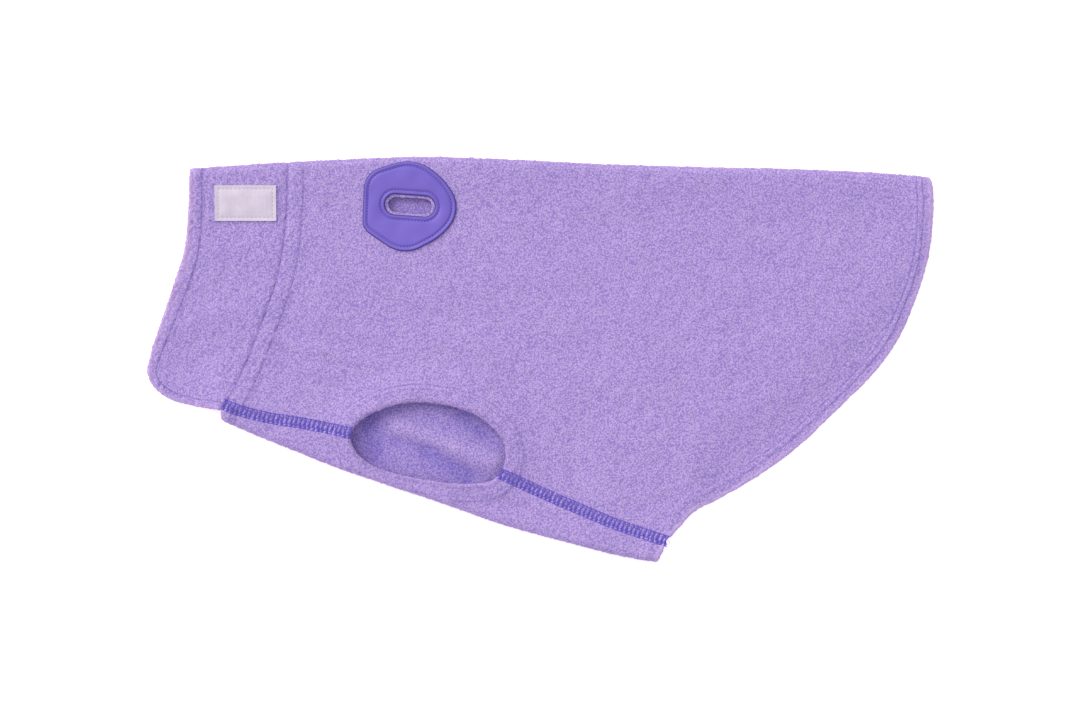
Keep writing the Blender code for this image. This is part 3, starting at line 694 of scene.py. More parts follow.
def noise(tree, place, scale, detail, output=0):
    return node(tree, "TexNoise", {"Vector": place, "Scale": scale,
                                   "Detail": detail}).outputs[output]


def ranged(tree, value, low, high, start=0.0, end=1.0, way="LINEAR"):
    """A value that goes from low to high, made to go from start to end."""
    return node(tree, "MapRange", {"Value": value, "From Min": low, "From Max": high,
                                   "To Min": start, "To Max": end},
                interpolation_type=way).outputs[0]


def mixed(tree, share, low, high, way="MIX"):
    return node(tree, "Mix", {"Factor": share, 6: low, 7: high}, data_type="RGBA",
                blend_type=way).outputs[2]


def attribute(tree, name, output="Fac"):
    return node(tree, "Attribute", attribute_name=name).outputs[output]


# %% Helpers for finishes
LIGHT = 1.12                # how much brighter than 1 a white surface shows in this light
WHITE = (1.0, 1.0, 1.0, 1.0)


def toned(colour):
    """A colour as it is measured in the photograph, less the light's share of it."""
    return tuple(c / LIGHT for c in colour) + (1.0,)


def two_tone(tree, value, places, colours):
    """A ramp from one colour to another between two places on a value's way."""
    ramp = node(tree, "ValToRGB", {0: value})
    for mark, place, colour in zip(ramp.color_ramp.elements, places, colours):
        mark.position, mark.color = place, toned(colour)
    return ramp


def new_finish(name, roughness, sheen=0.0, tint=WHITE, specular=0.15):
    finish = bpy.data.materials.new(name)
    finish.use_nodes = True
    shader = finish.node_tree.nodes["Principled BSDF"]
    for socket, value in (("Roughness", roughness), ("Sheen Weight", sheen),
                          ("Sheen Roughness", 0.5), ("Sheen Tint", tint),
                          ("Specular IOR Level", specular)):
        shader.inputs[socket].default_value = value
    return finish, finish.node_tree, shader


def dress(tree, shader, colour, height=None, depth_mm=0.0, strength=1.0):
    """Links a shader's colour, and where there is a height, a bump of a depth."""
    tree.links.new(colour, shader.inputs["Base Color"])
    if height is not None:
        bump = node(tree, "Bump", {"Height": height, "Distance": depth_mm * MM,
                                   "Strength": strength})
        tree.links.new(bump.outputs[0], shader.inputs["Normal"])


# %% The fleece's colours and nap
TIP, MEAN, PIT = (0.622, 0.476, 0.845), (0.484, 0.355, 0.736), (0.320, 0.221, 0.618)
GROOVE_TONE = (0.180, 0.125, 0.450)
EDGE_TONE, EDGE_GLOW, EDGE_FADE = (0.820, 0.610, 0.980), 0.62, 4.5
LINING_AND_SHADE_TONE = (0.64, 0.65, 0.87, 1.0)   # the lining's own darker colour with painted shade, as a share of the outer face's colour
FADED_Y = -85.0 * MM, -45.0 * MM        # where the free hem's stitch lines come up, in Y


def stitch_lines(tree, place, away, lines):
    """Grooves at set distances from an edge: one less the smoothed gap to the line over the
    groove's half width, and the deepest of them all. Pile that has closed over a groove
    again hides parts of it, as noise, and most of the free hem's by the side seam's end."""
    open_share = ranged(tree, noise(tree, place, 170.0, 3.0), 0.36, 0.58, 0.6)
    drawn = ranged(tree, node(tree, "SeparateXYZ", {0: place}).outputs[1], *FADED_Y, 0.25)
    groove = None
    for axis, at, reach, depth in lines:
        gap = math_node(tree, "ABSOLUTE", math_node(tree, "SUBTRACT", away[axis], at))
        line = ranged(tree, gap, 0.0, reach, depth, 0.0, "SMOOTHSTEP")
        if axis == 0:
            line = math_node(tree, "MULTIPLY", line, drawn)
        groove = line if groove is None else math_node(tree, "MAXIMUM", groove, line)
    return math_node(tree, "MULTIPLY", groove, open_share)


def fleece(name, curl_mm, contrast, relief_mm, lines):
    """Pile: the distance to scattered points, in a space that noise has bent, gives curls of one
    size whose middles stand high. Finer noise roughens them. Both colour the cloth from pit to
    tip and raise it, with the stitch lines sunk and darkened. The lining is darker, partly its
    own colour and partly painted shade: most in the far layer's troughs, not at all on its
    ridges.
    Light comes through the pile at a free edge, so the cloth is paler and pinker there."""
    finish, tree, shader = new_finish(name, 0.95, 0.6, (1.0, 0.80, 1.0, 1.0))
    place = node(tree, "TexCoord").outputs["Object"]
    bend = noise(tree, place, 600.0 / curl_mm, 1.0, 1)
    bent = node(tree, "VectorMath", {0: bend, 1: (1.3 * curl_mm * MM,) * 3, 2: place},
                operation="MULTIPLY_ADD").outputs[0]
    spot = node(tree, "TexVoronoi", {"Vector": bent, "Scale": 1000.0 / curl_mm}).outputs[0]
    curl = ranged(tree, spot, 0.12, 0.78, 1.0, 0.0)
    grain = noise(tree, place, 1300.0 / curl_mm, 1.0)
    height = weighed(tree, curl, 0.62, grain, 0.38)
    tone = weighed(tree, height, 0.93, noise(tree, place, 38.0, 2.0), 0.07)
    ramp = two_tone(tree, tone, (0.5 - 0.5 / contrast, 0.5 + 0.5 / contrast), (PIT, TIP))
    ramp.color_ramp.elements.new(0.5).color = toned(MEAN)
    away = node(tree, "SeparateXYZ", {0: attribute(tree, "edge_field", "Vector")}).outputs
    groove = stitch_lines(tree, place, away, lines)
    glow = ranged(tree, away[0], 0.0, EDGE_FADE, EDGE_GLOW, 0.0, "SMOOTHSTEP")
    pale = mixed(tree, glow, ramp.outputs[0], toned(EDGE_TONE))
    # The lining's own darker colour, with painted shade that is most in the far layer's troughs.
    lining_and_shade = mixed(tree, attribute(tree, "lining"), WHITE, LINING_AND_SHADE_TONE)
    cloth = mixed(tree, 1.0, pale, lining_and_shade, "MULTIPLY")
    sunk = math_node(tree, "SUBTRACT", height, math_node(tree, "MULTIPLY", groove, 1.2))
    dress(tree, shader, mixed(tree, groove, cloth, toned(GROOVE_TONE)), sunk, relief_mm)
    return finish


# Each stitch line: which edge it follows (0 free, 1 leg hole, 2 neck seam), its distance from
# that edge, its groove's half width, and how dark the groove is.
BODY_FLEECE = fleece("body_fleece", 0.95, 2.0, 0.30, (
    (0, TAIL_ROWS[0], 0.8, 0.58), (0, TAIL_ROWS[1], 0.9, 0.54), (1, LEG_ROWS[0], 0.7, 0.20),
    (1, LEG_ROWS[1], 0.9, 0.30), (2, NECK_ROWS[0], 0.9, 0.36), (2, NECK_ROWS[1], 0.9, 0.12),
    (2, 0.0, 1.3, 0.42)))
COLLAR_FLEECE = fleece("collar_fleece", 0.88, 2.1, 0.27, (
    (0, HEMS["collar"][0], 0.8, 0.66), (2, 0.0, 1.3, 0.42)))

# %% [markdown]
# ## The back panel
# One piece from the near side seam over the back to the far side seam. Its near layer is a
# grid between the side seam, the neck seam, the tail's edge and the top fold.

# %% Back panel
back_columns = graded(361.0, 0.85, 1.75)
seam_up, seam_down = SEAM + HALF_GAP, SEAM - HALF_GAP
neck = edge_line(NEAR_NECK, seam_up[0], BACK_TOP[0], BACK_UP[0], NECK_SHIFT)
tail = edge_line(NEAR_TAIL, seam_up[-1], BACK_TOP[-1], BACK_UP[-1])
back_near = filled(seam_up, BACK_TOP, neck, tail, np.linspace(0.0, 1.0, 138), back_columns)
far_up, far_down = rolled(seam_up), rolled(seam_down)
far_neck = edge_line(FAR_NECK, far_up[0], BACK_TOP[0], BACK_UP[0], NECK_SHIFT)
far_tail = edge_line(FAR_TAIL, far_up[-1], BACK_TOP[-1], BACK_UP[-1])
back_far = filled(BACK_TOP, far_up, far_neck[::-1], far_tail[::-1],
                  np.linspace(0.0, 1.0, 40), back_columns)


def cloth_panel(name, near, far, way, names, near_loops, far_loops, finish, flip):
    """The closed sheet as a piece, with the distances for its stitch lines, and how much its
    lining is darkened: its own colour and painted shade together, not at all on a ridge of the
    far layer and most in a trough.
    Returns also the grid that its loose pile stands on."""
    outer, inner, cut = folded(near, far, way, names, near_loops, far_loops)
    points, faces, source, lining = walled(outer, inner, cut, flip)
    piece = add_piece(name, points, faces, finish, "fleece")
    field = edge_field(near, far, names)
    keep_on_points(piece, "edge_field", field[source])
    soft = creases(outer.reshape(-1, 3)[source, :2], FAR_CREASES)
    # Painted shade on the lining: none on a ridge of the far layer, most in a trough.
    keep_on_points(piece, "lining", lining * np.clip(0.45 - 0.4 * soft, 0.0, 1.0))
    return piece, (outer, cut, field, flip)


back_way = dying_out(at_shares(BACK_UP, back_columns), back_near[-1], ("end",))
back, back_grid = cloth_panel(
    "back_cloth", back_near, back_far, back_way, ("tail", "leg", "neck"), (RIM, CLOTH_RIM),
    (FAR_RIM,), BODY_FLEECE, False)
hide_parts("back_panel")

# %% [markdown]
# ## The chest panel
# One piece from the near side seam round the chest to the far side seam. The leg holes bite
# into both of its long sides.

# %% Chest panel
chest_columns = graded(264.0, 0.85, 1.4)
belly = edge_line(NEAR_BELLY, seam_down[-1], CHEST_LOW[-1], CHEST_DOWN[-1])
throat = edge_line(NEAR_THROAT, seam_down[0], CHEST_LOW[0], CHEST_DOWN[0])
chest_near = filled(seam_down, CHEST_LOW, throat, belly, np.linspace(0.0, 1.0, 26),
                    chest_columns)
far_belly = edge_line(FAR_BELLY, far_down[-1], CHEST_LOW[-1], CHEST_DOWN[-1])
far_throat = edge_line(FAR_THROAT, far_down[0], CHEST_LOW[0], CHEST_DOWN[0])
chest_far = filled(CHEST_LOW, far_down, far_throat[::-1], far_belly[::-1],
                   np.linspace(0.0, 1.0, 42), chest_columns)
chest_way = dying_out(at_shares(CHEST_DOWN, chest_columns), chest_near[-1], ("start", "end"))
chest, chest_grid = cloth_panel(
    "chest_cloth", chest_near, chest_far, chest_way, ("belly", "leg", "throat"), (RIM,),
    (FAR_RIM,), BODY_FLEECE, True)
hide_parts("chest_panel")

# %% [markdown]
# ## The collar
# A band that is sewn round the neck edge and left open under the throat. Its free corner is
# round, so one corner of its grid lies on the round edge.

# %% Collar
collar_columns = graded(62.0, 0.75, 1.0, 8.0)
near_end = NEAR_NECK[0] - [NECK_SHIFT, 0.0]
far_end = FAR_NECK[0] - [NECK_SHIFT, 0.0]


def collar_sides(marks, end):
    """The collar's free edge, parted into its low and its left side at the mark that lies
    furthest to the left of the seam's end and below the fold."""
    line = edge_line(marks, end, COLLAR_TOP[0], COLLAR_UP[0])
    turn = np.argmin(line[:, 0] + 0.75 * line[:, 1])
    return line[:turn + 1][::-1], line[turn:]


near_low_side, near_left = collar_sides(NEAR_COLLAR, near_end)
far_low_side, far_left = collar_sides(FAR_COLLAR, far_end)
collar_seam = edge_line(NEAR_NECK, near_end, COLLAR_TOP[-1], COLLAR_UP[-1], -NECK_SHIFT)
far_collar_seam = edge_line(FAR_NECK, far_end, COLLAR_TOP[-1], COLLAR_UP[-1], -NECK_SHIFT)
collar_near = filled(near_low_side, COLLAR_TOP, near_left, collar_seam,
                     graded(134.0, 0.8, 1.2), collar_columns)
collar_far = filled(COLLAR_TOP, far_low_side, far_left[::-1], far_collar_seam[::-1],
                    np.linspace(0.0, 1.0, 40), collar_columns)
collar, collar_grid = cloth_panel(
    "collar_cloth", collar_near, collar_far, at_shares(COLLAR_UP, collar_columns),
    ("collar",), (), (), COLLAR_FLEECE, False)
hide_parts("collar")

# %% [markdown]
# ## Threads
# A flatlock seam lies flat: slanted bars of thick thread run between needle lines along the
# seam. Each stitch here is a short round tube whose ends dive into the cloth, and one array
# holds them all, so a whole seam is a single mesh.

# %% Round threads
def tubes(paths, radius, sides=6):
    """Rings round each path: a circle across the path's direction, thinner at both ends,
    joined by quads and closed by a flat face at each end. Returns points, quads and ends."""
    count, steps = paths.shape[:2]
    along = unit(np.gradient(paths, axis=1))
    side = unit(np.cross(along, (0.0, 0.0, 1.0)))
    up = np.cross(side, along)
    angle = np.arange(sides) * 2.0 * math.pi / sides
    thick = radius * (0.55 + 0.45 * np.sin(np.linspace(0.0, math.pi, steps)))
    ring = (np.cos(angle)[:, None] * side[:, :, None] + np.sin(angle)[:, None] * up[:, :, None])
    points = paths[:, :, None] + thick[:, None, None] * ring
    index = np.arange(count * steps * sides).reshape(count, steps, sides)
    after = np.roll(index, -1, axis=2)
    quads = np.stack([index[:, :-1], index[:, 1:], after[:, 1:], after[:, :-1]], axis=-1)
    ends = np.concatenate([index[:, 0], index[:, -1, ::-1]])
    return points.reshape(-1, 3), quads.reshape(-1, 4), ends


def gathered(parts):
    """Several tube meshes as one: their points in one list, and their faces moved on by the
    number of points before them."""
    counts = np.concatenate([[0], np.cumsum([len(points) for points, _, _ in parts])])
    quads = np.concatenate([sides + count for (_, sides, _), count in zip(parts, counts)])
    ends = np.concatenate([caps + count for (_, _, caps), count in zip(parts, counts)])
    return np.concatenate([points for points, _, _ in parts]), quads.tolist() + ends.tolist()


def laid(plan, names, rise):
    """Threads laid on the cloth: paths in plan, at the cloth's height plus the rise of each
    step of the path."""
    return np.dstack([plan, over_grid(near_top, plan, names) + np.asarray(rise)])


def ahead_of(across):
    """The directions of a line whose normals to the left are given."""
    return np.stack([across[:, 1], -across[:, 0]], axis=1)


def short_paths(middle, across, length, steps):
    """A short straight path in plan through each point, square to its normal."""
    share = np.linspace(-0.5, 0.5, steps)[None, :, None] * length
    return middle[:, None] + ahead_of(across)[:, None] * share


# %% Thread finishes
def thread_finish(name, colour):
    """Dyed thread: fibres twisted into it show as fine noise in tone."""
    finish, tree, shader = new_finish(name, 0.55, 0.15)
    strand = noise(tree, node(tree, "TexCoord").outputs["Object"], 1800.0, 2.0)
    ramp = two_tone(tree, strand, (0.25, 0.75), (
        [c * 0.72 for c in colour], [min(1.0, c * 1.25) for c in colour]))
    dress(tree, shader, ramp.outputs[0])
    return finish


SEAM_THREAD = thread_finish("seam_thread", (0.165, 0.120, 0.650))
HEM_THREAD = thread_finish("hem_thread", (0.290, 0.205, 0.600))

# %% Flatlock side seam
STITCH = 2.55
FLATLOCK_LINES = (2.9, -1.55, -2.9)
in_hole = np.nonzero(inside(SEAM, RIM))[0]
seam_parts = (SEAM[:in_hole[0] - 1], SEAM[in_hole[-1] + 2:])


def flatlock(line):
    """Bars slanted across the seam, thinner threads that cross below them, and a line of
    stitches on each needle's path, all worked out from the seam's points, its direction and
    its normal."""
    middle = spaced(line, STITCH)
    across = left_of(middle)
    along = ahead_of(across)
    jitter = RANDOM.normal(0.0, 0.16, (3, len(middle), 1))
    parts = []
    rise = np.array((-0.15, 0.25, 0.34, 0.34, 0.25, -0.15))
    for row, (low, high, lean, radius, sunk) in enumerate((
            (-1.55, 2.9, 0.8, 0.45, 0.0), (-2.9, -1.55, 0.4, 0.40, 0.0),
            (-2.9, 2.9, -1.0, 0.36, 0.22))):
        share = np.linspace(0.0, 1.0, 6)[None, :, None]
        reach = low + (high - low) * share
        lean_at = lean * (2.0 * share - 1.0) + jitter[row][:, None]
        plan = middle[:, None] + across[:, None] * reach + along[:, None] * lean_at
        parts.append(tubes(laid(plan, SEAM_HEMS, rise - sunk), radius))
    for reach in FLATLOCK_LINES:
        share = np.linspace(-0.5, 0.5, 5)[None, :, None] * (STITCH * 1.02)
        sway = 0.22 * np.sin(np.linspace(0.0, math.pi, 5))[None, :, None]
        plan = (middle[:, None] + across[:, None] * (reach + sway) + along[:, None] * share)
        parts.append(tubes(laid(plan, SEAM_HEMS, (-0.1, 0.16, 0.24, 0.16, -0.1)), 0.33))
    return parts


def loose_end(start, radius=0.08, steps=18):
    """A thread end that was left long when the seam was trimmed: a half turn out from the
    seam's end, that widens and falls towards the floor as it goes."""
    turn = np.linspace(0.0, 2.7, steps)
    reach = (1.0 + 0.15 * turn)[:, None]
    plan = start + [1.0, 0.3] + reach * np.stack([np.sin(turn), np.cos(turn) - 1.0], axis=1)
    return tubes(np.column_stack([plan, np.linspace(3.4, 1.2, steps)])[None], radius)


SEAM_HEMS = ("tail", "belly", "leg", "throat", "neck")
seam_thread = add_piece("flatlock_thread", *gathered(
    [part for line in seam_parts for part in flatlock(line)] + [loose_end(SEAM[-1])]),
    SEAM_THREAD, "fleece")

# %% Stitches of hems and of the neck band
def stitched(line, names, length=2.0, pitch=2.7, radius=0.2):
    """Running stitches sunk in the nap: short tubes along a line, one for each pitch."""
    middle = spaced(line, pitch)
    plan = short_paths(middle, left_of(middle), length, 5)
    return tubes(laid(plan, names, (-0.5, -0.16, -0.08, -0.16, -0.5)), radius)


def beside(name, away, side):
    """The line that lies at a distance from a hem's edge, on one side of it. The distance is
    a number, or one for each of the edge's points."""
    line = HEM_LINES[name]
    away = np.broadcast_to(away, len(line))
    moved = line + left_of(line) * side * away[:, None]
    return moved[distance(moved, line) > away - 0.1]


def kept(line, loop):
    """The stretch of a line that lies in a loop, a millimetre clear of its edge."""
    return line[inside(line, loop) & (distance(line, closed(loop)) > 1.0)]


def above_fold(ring):
    """The stretch of a ring that lies on the near layer. The ring is started at its lowest
    point over the chest fold, so that the stretch is in one piece."""
    fold = smooth_between(CHEST_SECTIONS[:, 0], CHEST_SECTIONS[:, 2], ring[:, 0])
    height = ring[:, 1] - fold
    first = -int(height.argmin())
    return np.roll(ring, first, axis=0)[np.roll(height, first) > 1.5]


back_loop = np.concatenate([seam_up[:-1], tail[:-1], BACK_TOP[::-1], neck[::-1][:-1]])[::2]
tail_hem = np.interp(HEM_LINES["tail"][:, 1], *TAIL_HEM.T)
hem_rows = [(beside("tail", away - tail_hem, 1.0), ("tail",)) for away in TAIL_ROWS]
hem_rows += [(beside("neck", NECK_ROWS[0], -1.0), ("neck",))]
hem_rows = [(kept(line, back_loop), names) for line, names in hem_rows]
hem_rows += [(above_fold(beside("leg", away, -1.0)), ("leg",)) for away in LEG_ROWS]
collar_hem = np.interp(HEM_LINES["collar"][:, 1], *COLLAR_HEM.T)
hem_rows += [(beside("collar", collar_hem, -1.0), ("collar",))]
hem_thread = add_piece("hem_thread", *gathered(
    [stitched(line, names) for line, names in hem_rows]), HEM_THREAD, "fleece")

# %% [markdown]
# ## The leash patch
# A soft moulded patch is sewn over the leash hole, so that a clip can reach the harness below
# without tearing the cloth. Its edges are raised rims with a sewing groove inside them. The
# rims follow the outline at a set distance, so the patch is a grid of rings: offsets of the
# outline first, then a plain field, then offsets of the slot, and round underneath.

# %% Leash patch
PATCH_EDGE = np.array((     # distance in from an edge, height over the cloth
    (0.8, -0.3), (0.1, -0.1), (0.05, 0.4), (0.35, 1.0), (0.8, 1.5), (1.1, 1.6), (1.45, 1.55),
    (1.8, 1.3), (2.2, 0.9), (2.6, 0.75), (3.0, 0.9), (3.3, 1.25), (3.8, 1.4)))
PATCH_WALL = 4              # how many of these places belong to the side wall
PATCH_SPOKES, PATCH_FIELD = 300, 10


def patch_rings():
    """The patch's outline and slot, point for point on the same rays from the slot's middle."""
    outline = spaced(closed(rounded(PATCH_CORNERS)), 0.3)[:-1]
    slot = slot_rim(PATCH_SLOT, PATCH_SPOKES)
    rays = slot - SLOT_CENTRE
    places = np.arctan2(outline[:, 1], outline[:, 0])
    wanted = np.arctan2(rays[:, 1], rays[:, 0])
    rim = np.stack([np.interp(wanted, places, outline[:, k], period=2.0 * math.pi)
                    for k in range(2)], axis=1)
    return rim + SLOT_CENTRE, slot


patch_rim, patch_slot = patch_rings()
into, out_of = left_of_ring(patch_rim), -left_of_ring(patch_slot)
rings = [patch_rim + into * away for away in PATCH_EDGE[:, 0]]
rises = list(PATCH_EDGE[:, 1])
for share in np.linspace(0.0, 1.0, PATCH_FIELD + 2)[1:-1]:
    end = patch_slot + out_of * PATCH_EDGE[-1, 0]
    rings.append((1.0 - share) * (patch_rim + into * PATCH_EDGE[-1, 0]) + share * end)
    rises.append(PATCH_EDGE[-1, 1] + 0.15 * math.sin(math.pi * share))
rings += [patch_slot + out_of * away for away in PATCH_EDGE[::-1, 0]]
rises += list(PATCH_EDGE[::-1, 1])
patch_plan = np.stack(rings)
patch_z = over_grid(patch_base, patch_plan) + np.array(rises)[:, None]
patch_points = np.dstack([patch_plan, patch_z])
index = np.arange(patch_plan.shape[0] * PATCH_SPOKES).reshape(-1, PATCH_SPOKES)
after, inward = np.roll(index, -1, axis=1), np.roll(index, -1, axis=0)
patch_faces = np.stack([index, after, np.roll(inward, -1, axis=1), inward], axis=-1)

# %% The patch's finish
def moulded():
    """Matte rubber: one dyed colour, a fine eggshell grain in its bump, and faint clouds. The
    side wall stands deep in the pile, which keeps the light off it, so it is darker."""
    finish, tree, shader = new_finish("moulded_rubber", 0.52, specular=0.35)
    place = node(tree, "TexCoord").outputs["Object"]
    ramp = two_tone(tree, noise(tree, place, 60.0, 3.0), (0.3, 0.7),
                    ((0.190, 0.130, 0.595), (0.206, 0.142, 0.625)))
    colour = mixed(tree, attribute(tree, "side_wall"), ramp.outputs[0],
                   toned((0.062, 0.046, 0.270)))
    dress(tree, shader, colour, noise(tree, place, 2600.0, 1.0), 0.04)
    return finish


patch = add_piece("moulded_patch", patch_points.reshape(-1, 3), patch_faces.reshape(-1, 4),
                  moulded(), "patch")
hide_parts("leash_patch")
on_wall = np.zeros(patch_plan.shape[:2], np.float32)
on_wall[:PATCH_WALL] = on_wall[-PATCH_WALL:] = 1.0
keep_on_points(patch, "side_wall", on_wall.ravel())

# %% Stitches in the patch's grooves
PATCH_THREAD = thread_finish("patch_thread", (0.085, 0.060, 0.360))


def groove_stitches(loop, inward_way, pitch=1.75, length=1.05):
    """Short stitches in a groove: the loop moved in to the groove's bottom and cut into
    pitches."""
    line = closed(loop + inward_way * 2.6)
    count = int(run_along(line)[-1] / pitch)
    middle = at_shares(line, np.arange(count) / count)
    plan = short_paths(middle, left_of_ring(middle), length, 4)
    z = over_grid(patch_base, plan) + np.array((0.5, 0.8, 0.8, 0.5))
    return tubes(np.dstack([plan, z]), 0.22)


add_piece("patch_thread", *gathered([
    groove_stitches(patch_rim, into), groove_stitches(patch_slot, out_of)]),
    PATCH_THREAD, "patch")

# %% [markdown]
# ## The label
# A small woven label is sewn flat on the collar by all four sides. The stitches pull it down
# a little along their line, and the tape between them stands up softly.

# %% Label
LABEL_CELLS, LABEL_WALL, LABEL_SEW = (70, 42), 0.7, 2.0
label_x, label_y = (np.linspace(-0.5, 0.5, n) * size for n, size in zip(LABEL_CELLS, LABEL_SIZE))
label_plan = np.dstack(np.meshgrid(label_x, label_y)) + np.array(LABEL_CENTRE)
from_side = np.minimum(0.5 * LABEL_SIZE[0] - np.abs(label_plan[..., 0] - LABEL_CENTRE[0]),
                       0.5 * LABEL_SIZE[1] - np.abs(label_plan[..., 1] - LABEL_CENTRE[1]))
puff = 0.30 * smoothstep(LABEL_SEW, 6.0, from_side) + 0.12 * smoothstep(1.2, 0.0, from_side)
pull = 0.28 * np.exp(-((from_side - LABEL_SEW) / 0.5) ** 2)
label_low = over_grid(near_top, label_plan, ()) + 0.1
label_high = label_low + LABEL_WALL + puff - pull
no_cut = np.zeros(label_low.shape, bool)
label_points, label_faces = walled(np.dstack([label_plan, label_high]),
                                   np.dstack([label_plan, label_low]), no_cut, False)[:2]


def woven():
    """Damask tape: fine ribs of warp and weft as two wave patterns in the bump, with a
    little of each in the tone."""
    finish, tree, shader = new_finish("woven_tape", 0.62, 0.1, specular=0.3)
    place = node(tree, "TexCoord").outputs["Object"]
    ribs = [node(tree, "TexWave", {"Vector": place, "Scale": scale, "Distortion": 0.4,
                                   "Detail": 1.0}, bands_direction=way).outputs[1]
            for way, scale in (("X", 420.0), ("Y", 640.0))]
    weave = math_node(tree, "MULTIPLY", ribs[0], ribs[1])
    tone = weighed(tree, weave, 0.5, noise(tree, place, 240.0, 2.0), 0.5)
    ramp = two_tone(tree, tone, (0.2, 0.7), ((0.69, 0.60, 0.74), (0.83, 0.75, 0.87)))
    dress(tree, shader, ramp.outputs[0], weave, 0.08, 0.8)
    return finish


label = add_piece("woven_label", label_points, label_faces, woven(), "label")
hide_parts("label")

# %% Stitches round the label
LABEL_THREAD = thread_finish("label_thread", (0.60, 0.54, 0.70))


def label_stitches(pitch=2.3, length=1.6):
    """A rectangle at the sewing distance, cut into pitches, each a short tube on the tape."""
    half = 0.5 * np.array(LABEL_SIZE) - LABEL_SEW
    corners = half * np.array(((1, 1), (-1, 1), (-1, -1), (1, -1), (1, 1))) + LABEL_CENTRE
    middle = spaced(corners, pitch)[:-1] + 1e-6
    plan = short_paths(middle, left_of_ring(middle), length, 4)
    rise = LABEL_WALL + np.array((-0.35, -0.02, -0.02, -0.35))
    return tubes(laid(plan, (), rise), 0.17)


label_thread = add_piece("label_thread", *gathered([label_stitches()]), LABEL_THREAD, "label")

# %% [markdown]
# ## Loose pile
# Fleece has no sharp outline: short loose fibres stand out from every edge and fold. They
# are far thinner than a grid could show, so each is a needle with a three-cornered foot,
# rooted at random on the cloth, thicker along edges and folds where they are seen against
# the light.

# %% Needles of pile
def needles(roots, ways, lengths, radius):
    """Three foot points in a circle across each fibre's way, and a tip at its length."""
    helper = np.where(np.abs(ways[:, 2:]) < 0.9, (0.0, 0.0, 1.0), (1.0, 0.0, 0.0))
    a = unit(np.cross(ways, helper))
    b = np.cross(ways, a)
    angle = np.arange(3) * 2.0 * math.pi / 3.0
    circle = np.cos(angle)[:, None] * a[:, None] + np.sin(angle)[:, None] * b[:, None]
    foot = roots[:, None] + radius * circle
    points = np.concatenate([foot, (roots + ways * lengths[:, None])[:, None]], axis=1)
    sides = np.array(((0, 1, 3), (1, 2, 3), (2, 0, 3), (0, 2, 1)))
    faces = (np.arange(len(roots)) * 4)[:, None, None] + sides
    return points.reshape(-1, 3), faces.reshape(-1, 3)


def bare(plan):
    """Places with no loose pile: under the patch and the label, and on the flatlock seam."""
    away = np.abs(plan - LABEL_CENTRE)
    on_label = (away < 0.5 * np.array(LABEL_SIZE) + 0.4).all(axis=1)
    return on_label | inside(plan, patch_rim) | (distance(plan, SEAM[::3]) < 3.4)


PILE_EDGE, PILE_MORE = 2.2, 14.0    # reach and weight of the denser pile at edges and folds
FOLDED_UP, UNDERSIDE = 0.75, -0.5   # upward part of the normal at a fold's start and its end


def pile(name, grid, count, finish, seed):
    """Roots at random in the grid's cells, as likely as the cell is large, and likelier at
    edges and folds. Ways lean at random from the cell's normal."""
    outer, cut, field, flip = grid
    source = np.random.default_rng(seed)
    right, ahead = outer[:-1, 1:] - outer[:-1, :-1], outer[1:, :-1] - outer[:-1, :-1]
    normal = np.cross(right, ahead) * (-1.0 if flip else 1.0)
    area = np.linalg.norm(normal, axis=2)
    normal /= np.maximum(area, 1e-9)[..., None]
    free = ~(cut[:-1, :-1] | cut[:-1, 1:] | cut[1:, :-1] | cut[1:, 1:])
    edge = field.reshape(*cut.shape, 3)[:-1, :-1, :2].min(axis=2) < PILE_EDGE
    shown = normal[..., 2] > UNDERSIDE
    bend = (normal[..., 2] < FOLDED_UP) & shown
    weight = area * free * shown * (1.0 + PILE_MORE * (edge | bend))
    pick = source.choice(weight.size, count, p=(weight / weight.sum()).ravel())
    row, column = np.unravel_index(pick, weight.shape)
    u, v = source.random((2, count, 1))
    roots = outer[row, column] + right[row, column] * u + ahead[row, column] * v
    ways = unit(normal[row, column] * 0.55 + source.normal(0.0, 0.5, (count, 3)))
    lengths = source.uniform(0.4, 1.15, count)
    tips = roots + ways * lengths[:, None]
    keep = ~bare(roots[:, :2]) & (tips[:, 2] > 0.05)
    points, faces = needles(roots[keep] - 0.15 * ways[keep], ways[keep], lengths[keep], 0.09)
    return add_piece(name, points, faces, finish, "fleece")


def pile_finish():
    """Loose fibres catch the light: a paler, pinker lilac than the cloth, with sheen."""
    finish, tree, shader = new_finish("loose_pile", 0.9, 0.3, (0.95, 0.8, 1.0, 1.0))
    shade = noise(tree, node(tree, "TexCoord").outputs["Object"], 500.0, 2.0)
    ramp = two_tone(tree, shade, (0.3, 0.7), ((0.52, 0.35, 0.72), (0.70, 0.51, 0.85)))
    dress(tree, shader, ramp.outputs[0])
    return finish


PILE = pile_finish()
back_pile = pile("back_pile", back_grid, 46000, PILE, 11)
chest_pile = pile("chest_pile", chest_grid, 15000, PILE, 12)
collar_pile = pile("collar_pile", collar_grid, 12000, PILE, 13)

# %% [markdown]
# ## What each sheet of cloth was cut to
# Each panel is opened out flat: its far layer is turned over the fold's straight line, and
# moved out by the length of cloth that the fold takes up. The cut is the rectangle round the
# opened panel, along the fold and square to it, and the area is half of the closed surface.

FOLD_RADII = FOLD_REACH - 0.5 * WALL, 0.5 * (WALL + LAYER_GAP + FOLD_LIFT)
FOLD_CLOTH = 0.5 * math.pi * sum(FOLD_RADII)


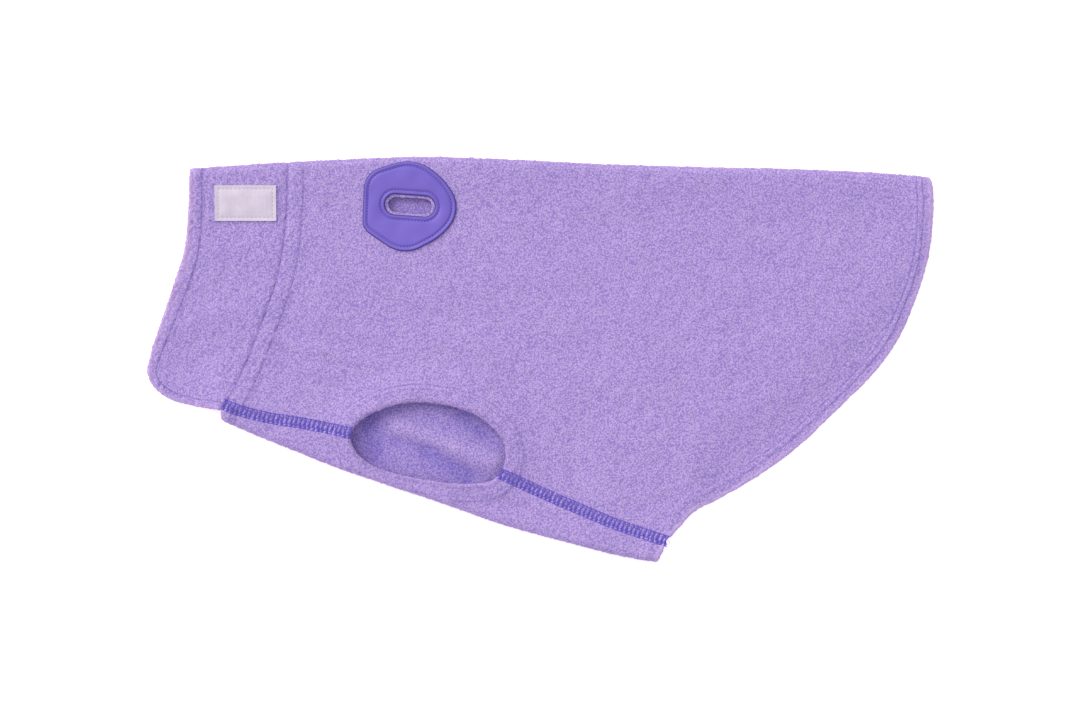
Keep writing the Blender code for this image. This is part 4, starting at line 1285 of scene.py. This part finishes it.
def cut_size(near, far):
    """Width round the body and length along the fold of the opened panel. The fold's line
    runs between the ends of the row that both layers share."""
    start, end = near[-1, 0], near[-1, -1]
    along = (end - start) / np.linalg.norm(end - start)
    square = np.array([-along[1], along[0]])
    points = [layer.reshape(-1, 2) - start for layer in (near, far)]
    runs = np.concatenate([layer @ along for layer in points])
    width = sum(np.abs(layer @ square).max() for layer in points) + FOLD_CLOTH
    return width * MM, np.ptp(runs) * MM


def surface(piece):
    """Area of one side of a closed sheet: half of all its faces."""
    areas = np.zeros(len(piece.data.polygons), np.float32)
    piece.data.polygons.foreach_get("area", areas)
    return 0.5 * float(areas.sum())


for cloth, near, far, extras in (
        (back, back_near, back_far, [back_pile, hem_thread, seam_thread]),
        (chest, chest_near, chest_far, [chest_pile]),
        (collar, collar_near, collar_far, [collar_pile])):
    size, area = cut_size(near, far), surface(cloth)
    print(cloth.name, "cut", [round(s, 3) for s in size], "m, area", round(area, 4), "m2")

# %% [markdown]
# ## Floor, light and camera
# The sweater was photographed from straight above on white, in soft even light with a little
# more from the top left. A wide sun lamp gives that side, a bright sky fills the rest, and a
# long lens keeps the view free of perspective. The sky is a little bluer and the lamp a little
# warmer than white: together they are neutral, and the shade in the leg hole turns violet.
# The floor glows, as a light table does, so that it stays white beside the cloth.

# %% Floor
floor_mesh = bpy.data.meshes.new("floor")
floor_mesh.from_pydata([(-4, -4, -0.0003), (4, -4, -0.0003), (4, 4, -0.0003), (-4, 4, -0.0003)],
                       [], [(0, 1, 2, 3)])
floor = placed("floor", floor_mesh)
paper, _, paper_shader = new_finish("white_paper", 0.9)
paper_shader.inputs["Base Color"].default_value = (0.95, 0.95, 0.95, 1.0)
paper_shader.inputs["Emission Color"].default_value = (1.0, 1.0, 1.0, 1.0)
paper_shader.inputs["Emission Strength"].default_value = 0.5
floor_mesh.materials.append(paper)

# %% Light
SKY, SUN, SUN_HEIGHT, SUN_SIDE, SUN_WIDTH = 0.76, 2.15, 38.0, 46.0, 40.0
world = bpy.data.worlds.new("studio")
bpy.context.scene.world = world
world.use_nodes = True
world.node_tree.nodes["Background"].inputs[0].default_value = (0.92, 0.91, 1.0, 1.0)
world.node_tree.nodes["Background"].inputs[1].default_value = SKY
lamp = bpy.data.lights.new("window", "SUN")
lamp.energy = SUN
lamp.color = (1.0, 1.0, 0.86)
lamp.angle = math.radians(SUN_WIDTH)
sun = placed("window", lamp)
sun.rotation_euler = (math.radians(90.0 - SUN_HEIGHT), 0.0, math.radians(180.0 + SUN_SIDE))

# %% Camera
MM_PER_PIXEL, PHOTO_WIDTH, LENS, SENSOR = 0.56, 1080, 100.0, 36.0
camera_data = bpy.data.cameras.new("camera")
camera_data.lens, camera_data.sensor_width = LENS, SENSOR
camera = placed("camera", camera_data)
camera.location = (0.28 * MM, -0.28 * MM,
                   (MM_PER_PIXEL * PHOTO_WIDTH * LENS / SENSOR + 5.0) * MM)
bpy.context.scene.camera = camera
bpy.context.scene.view_settings.view_transform = "Standard"
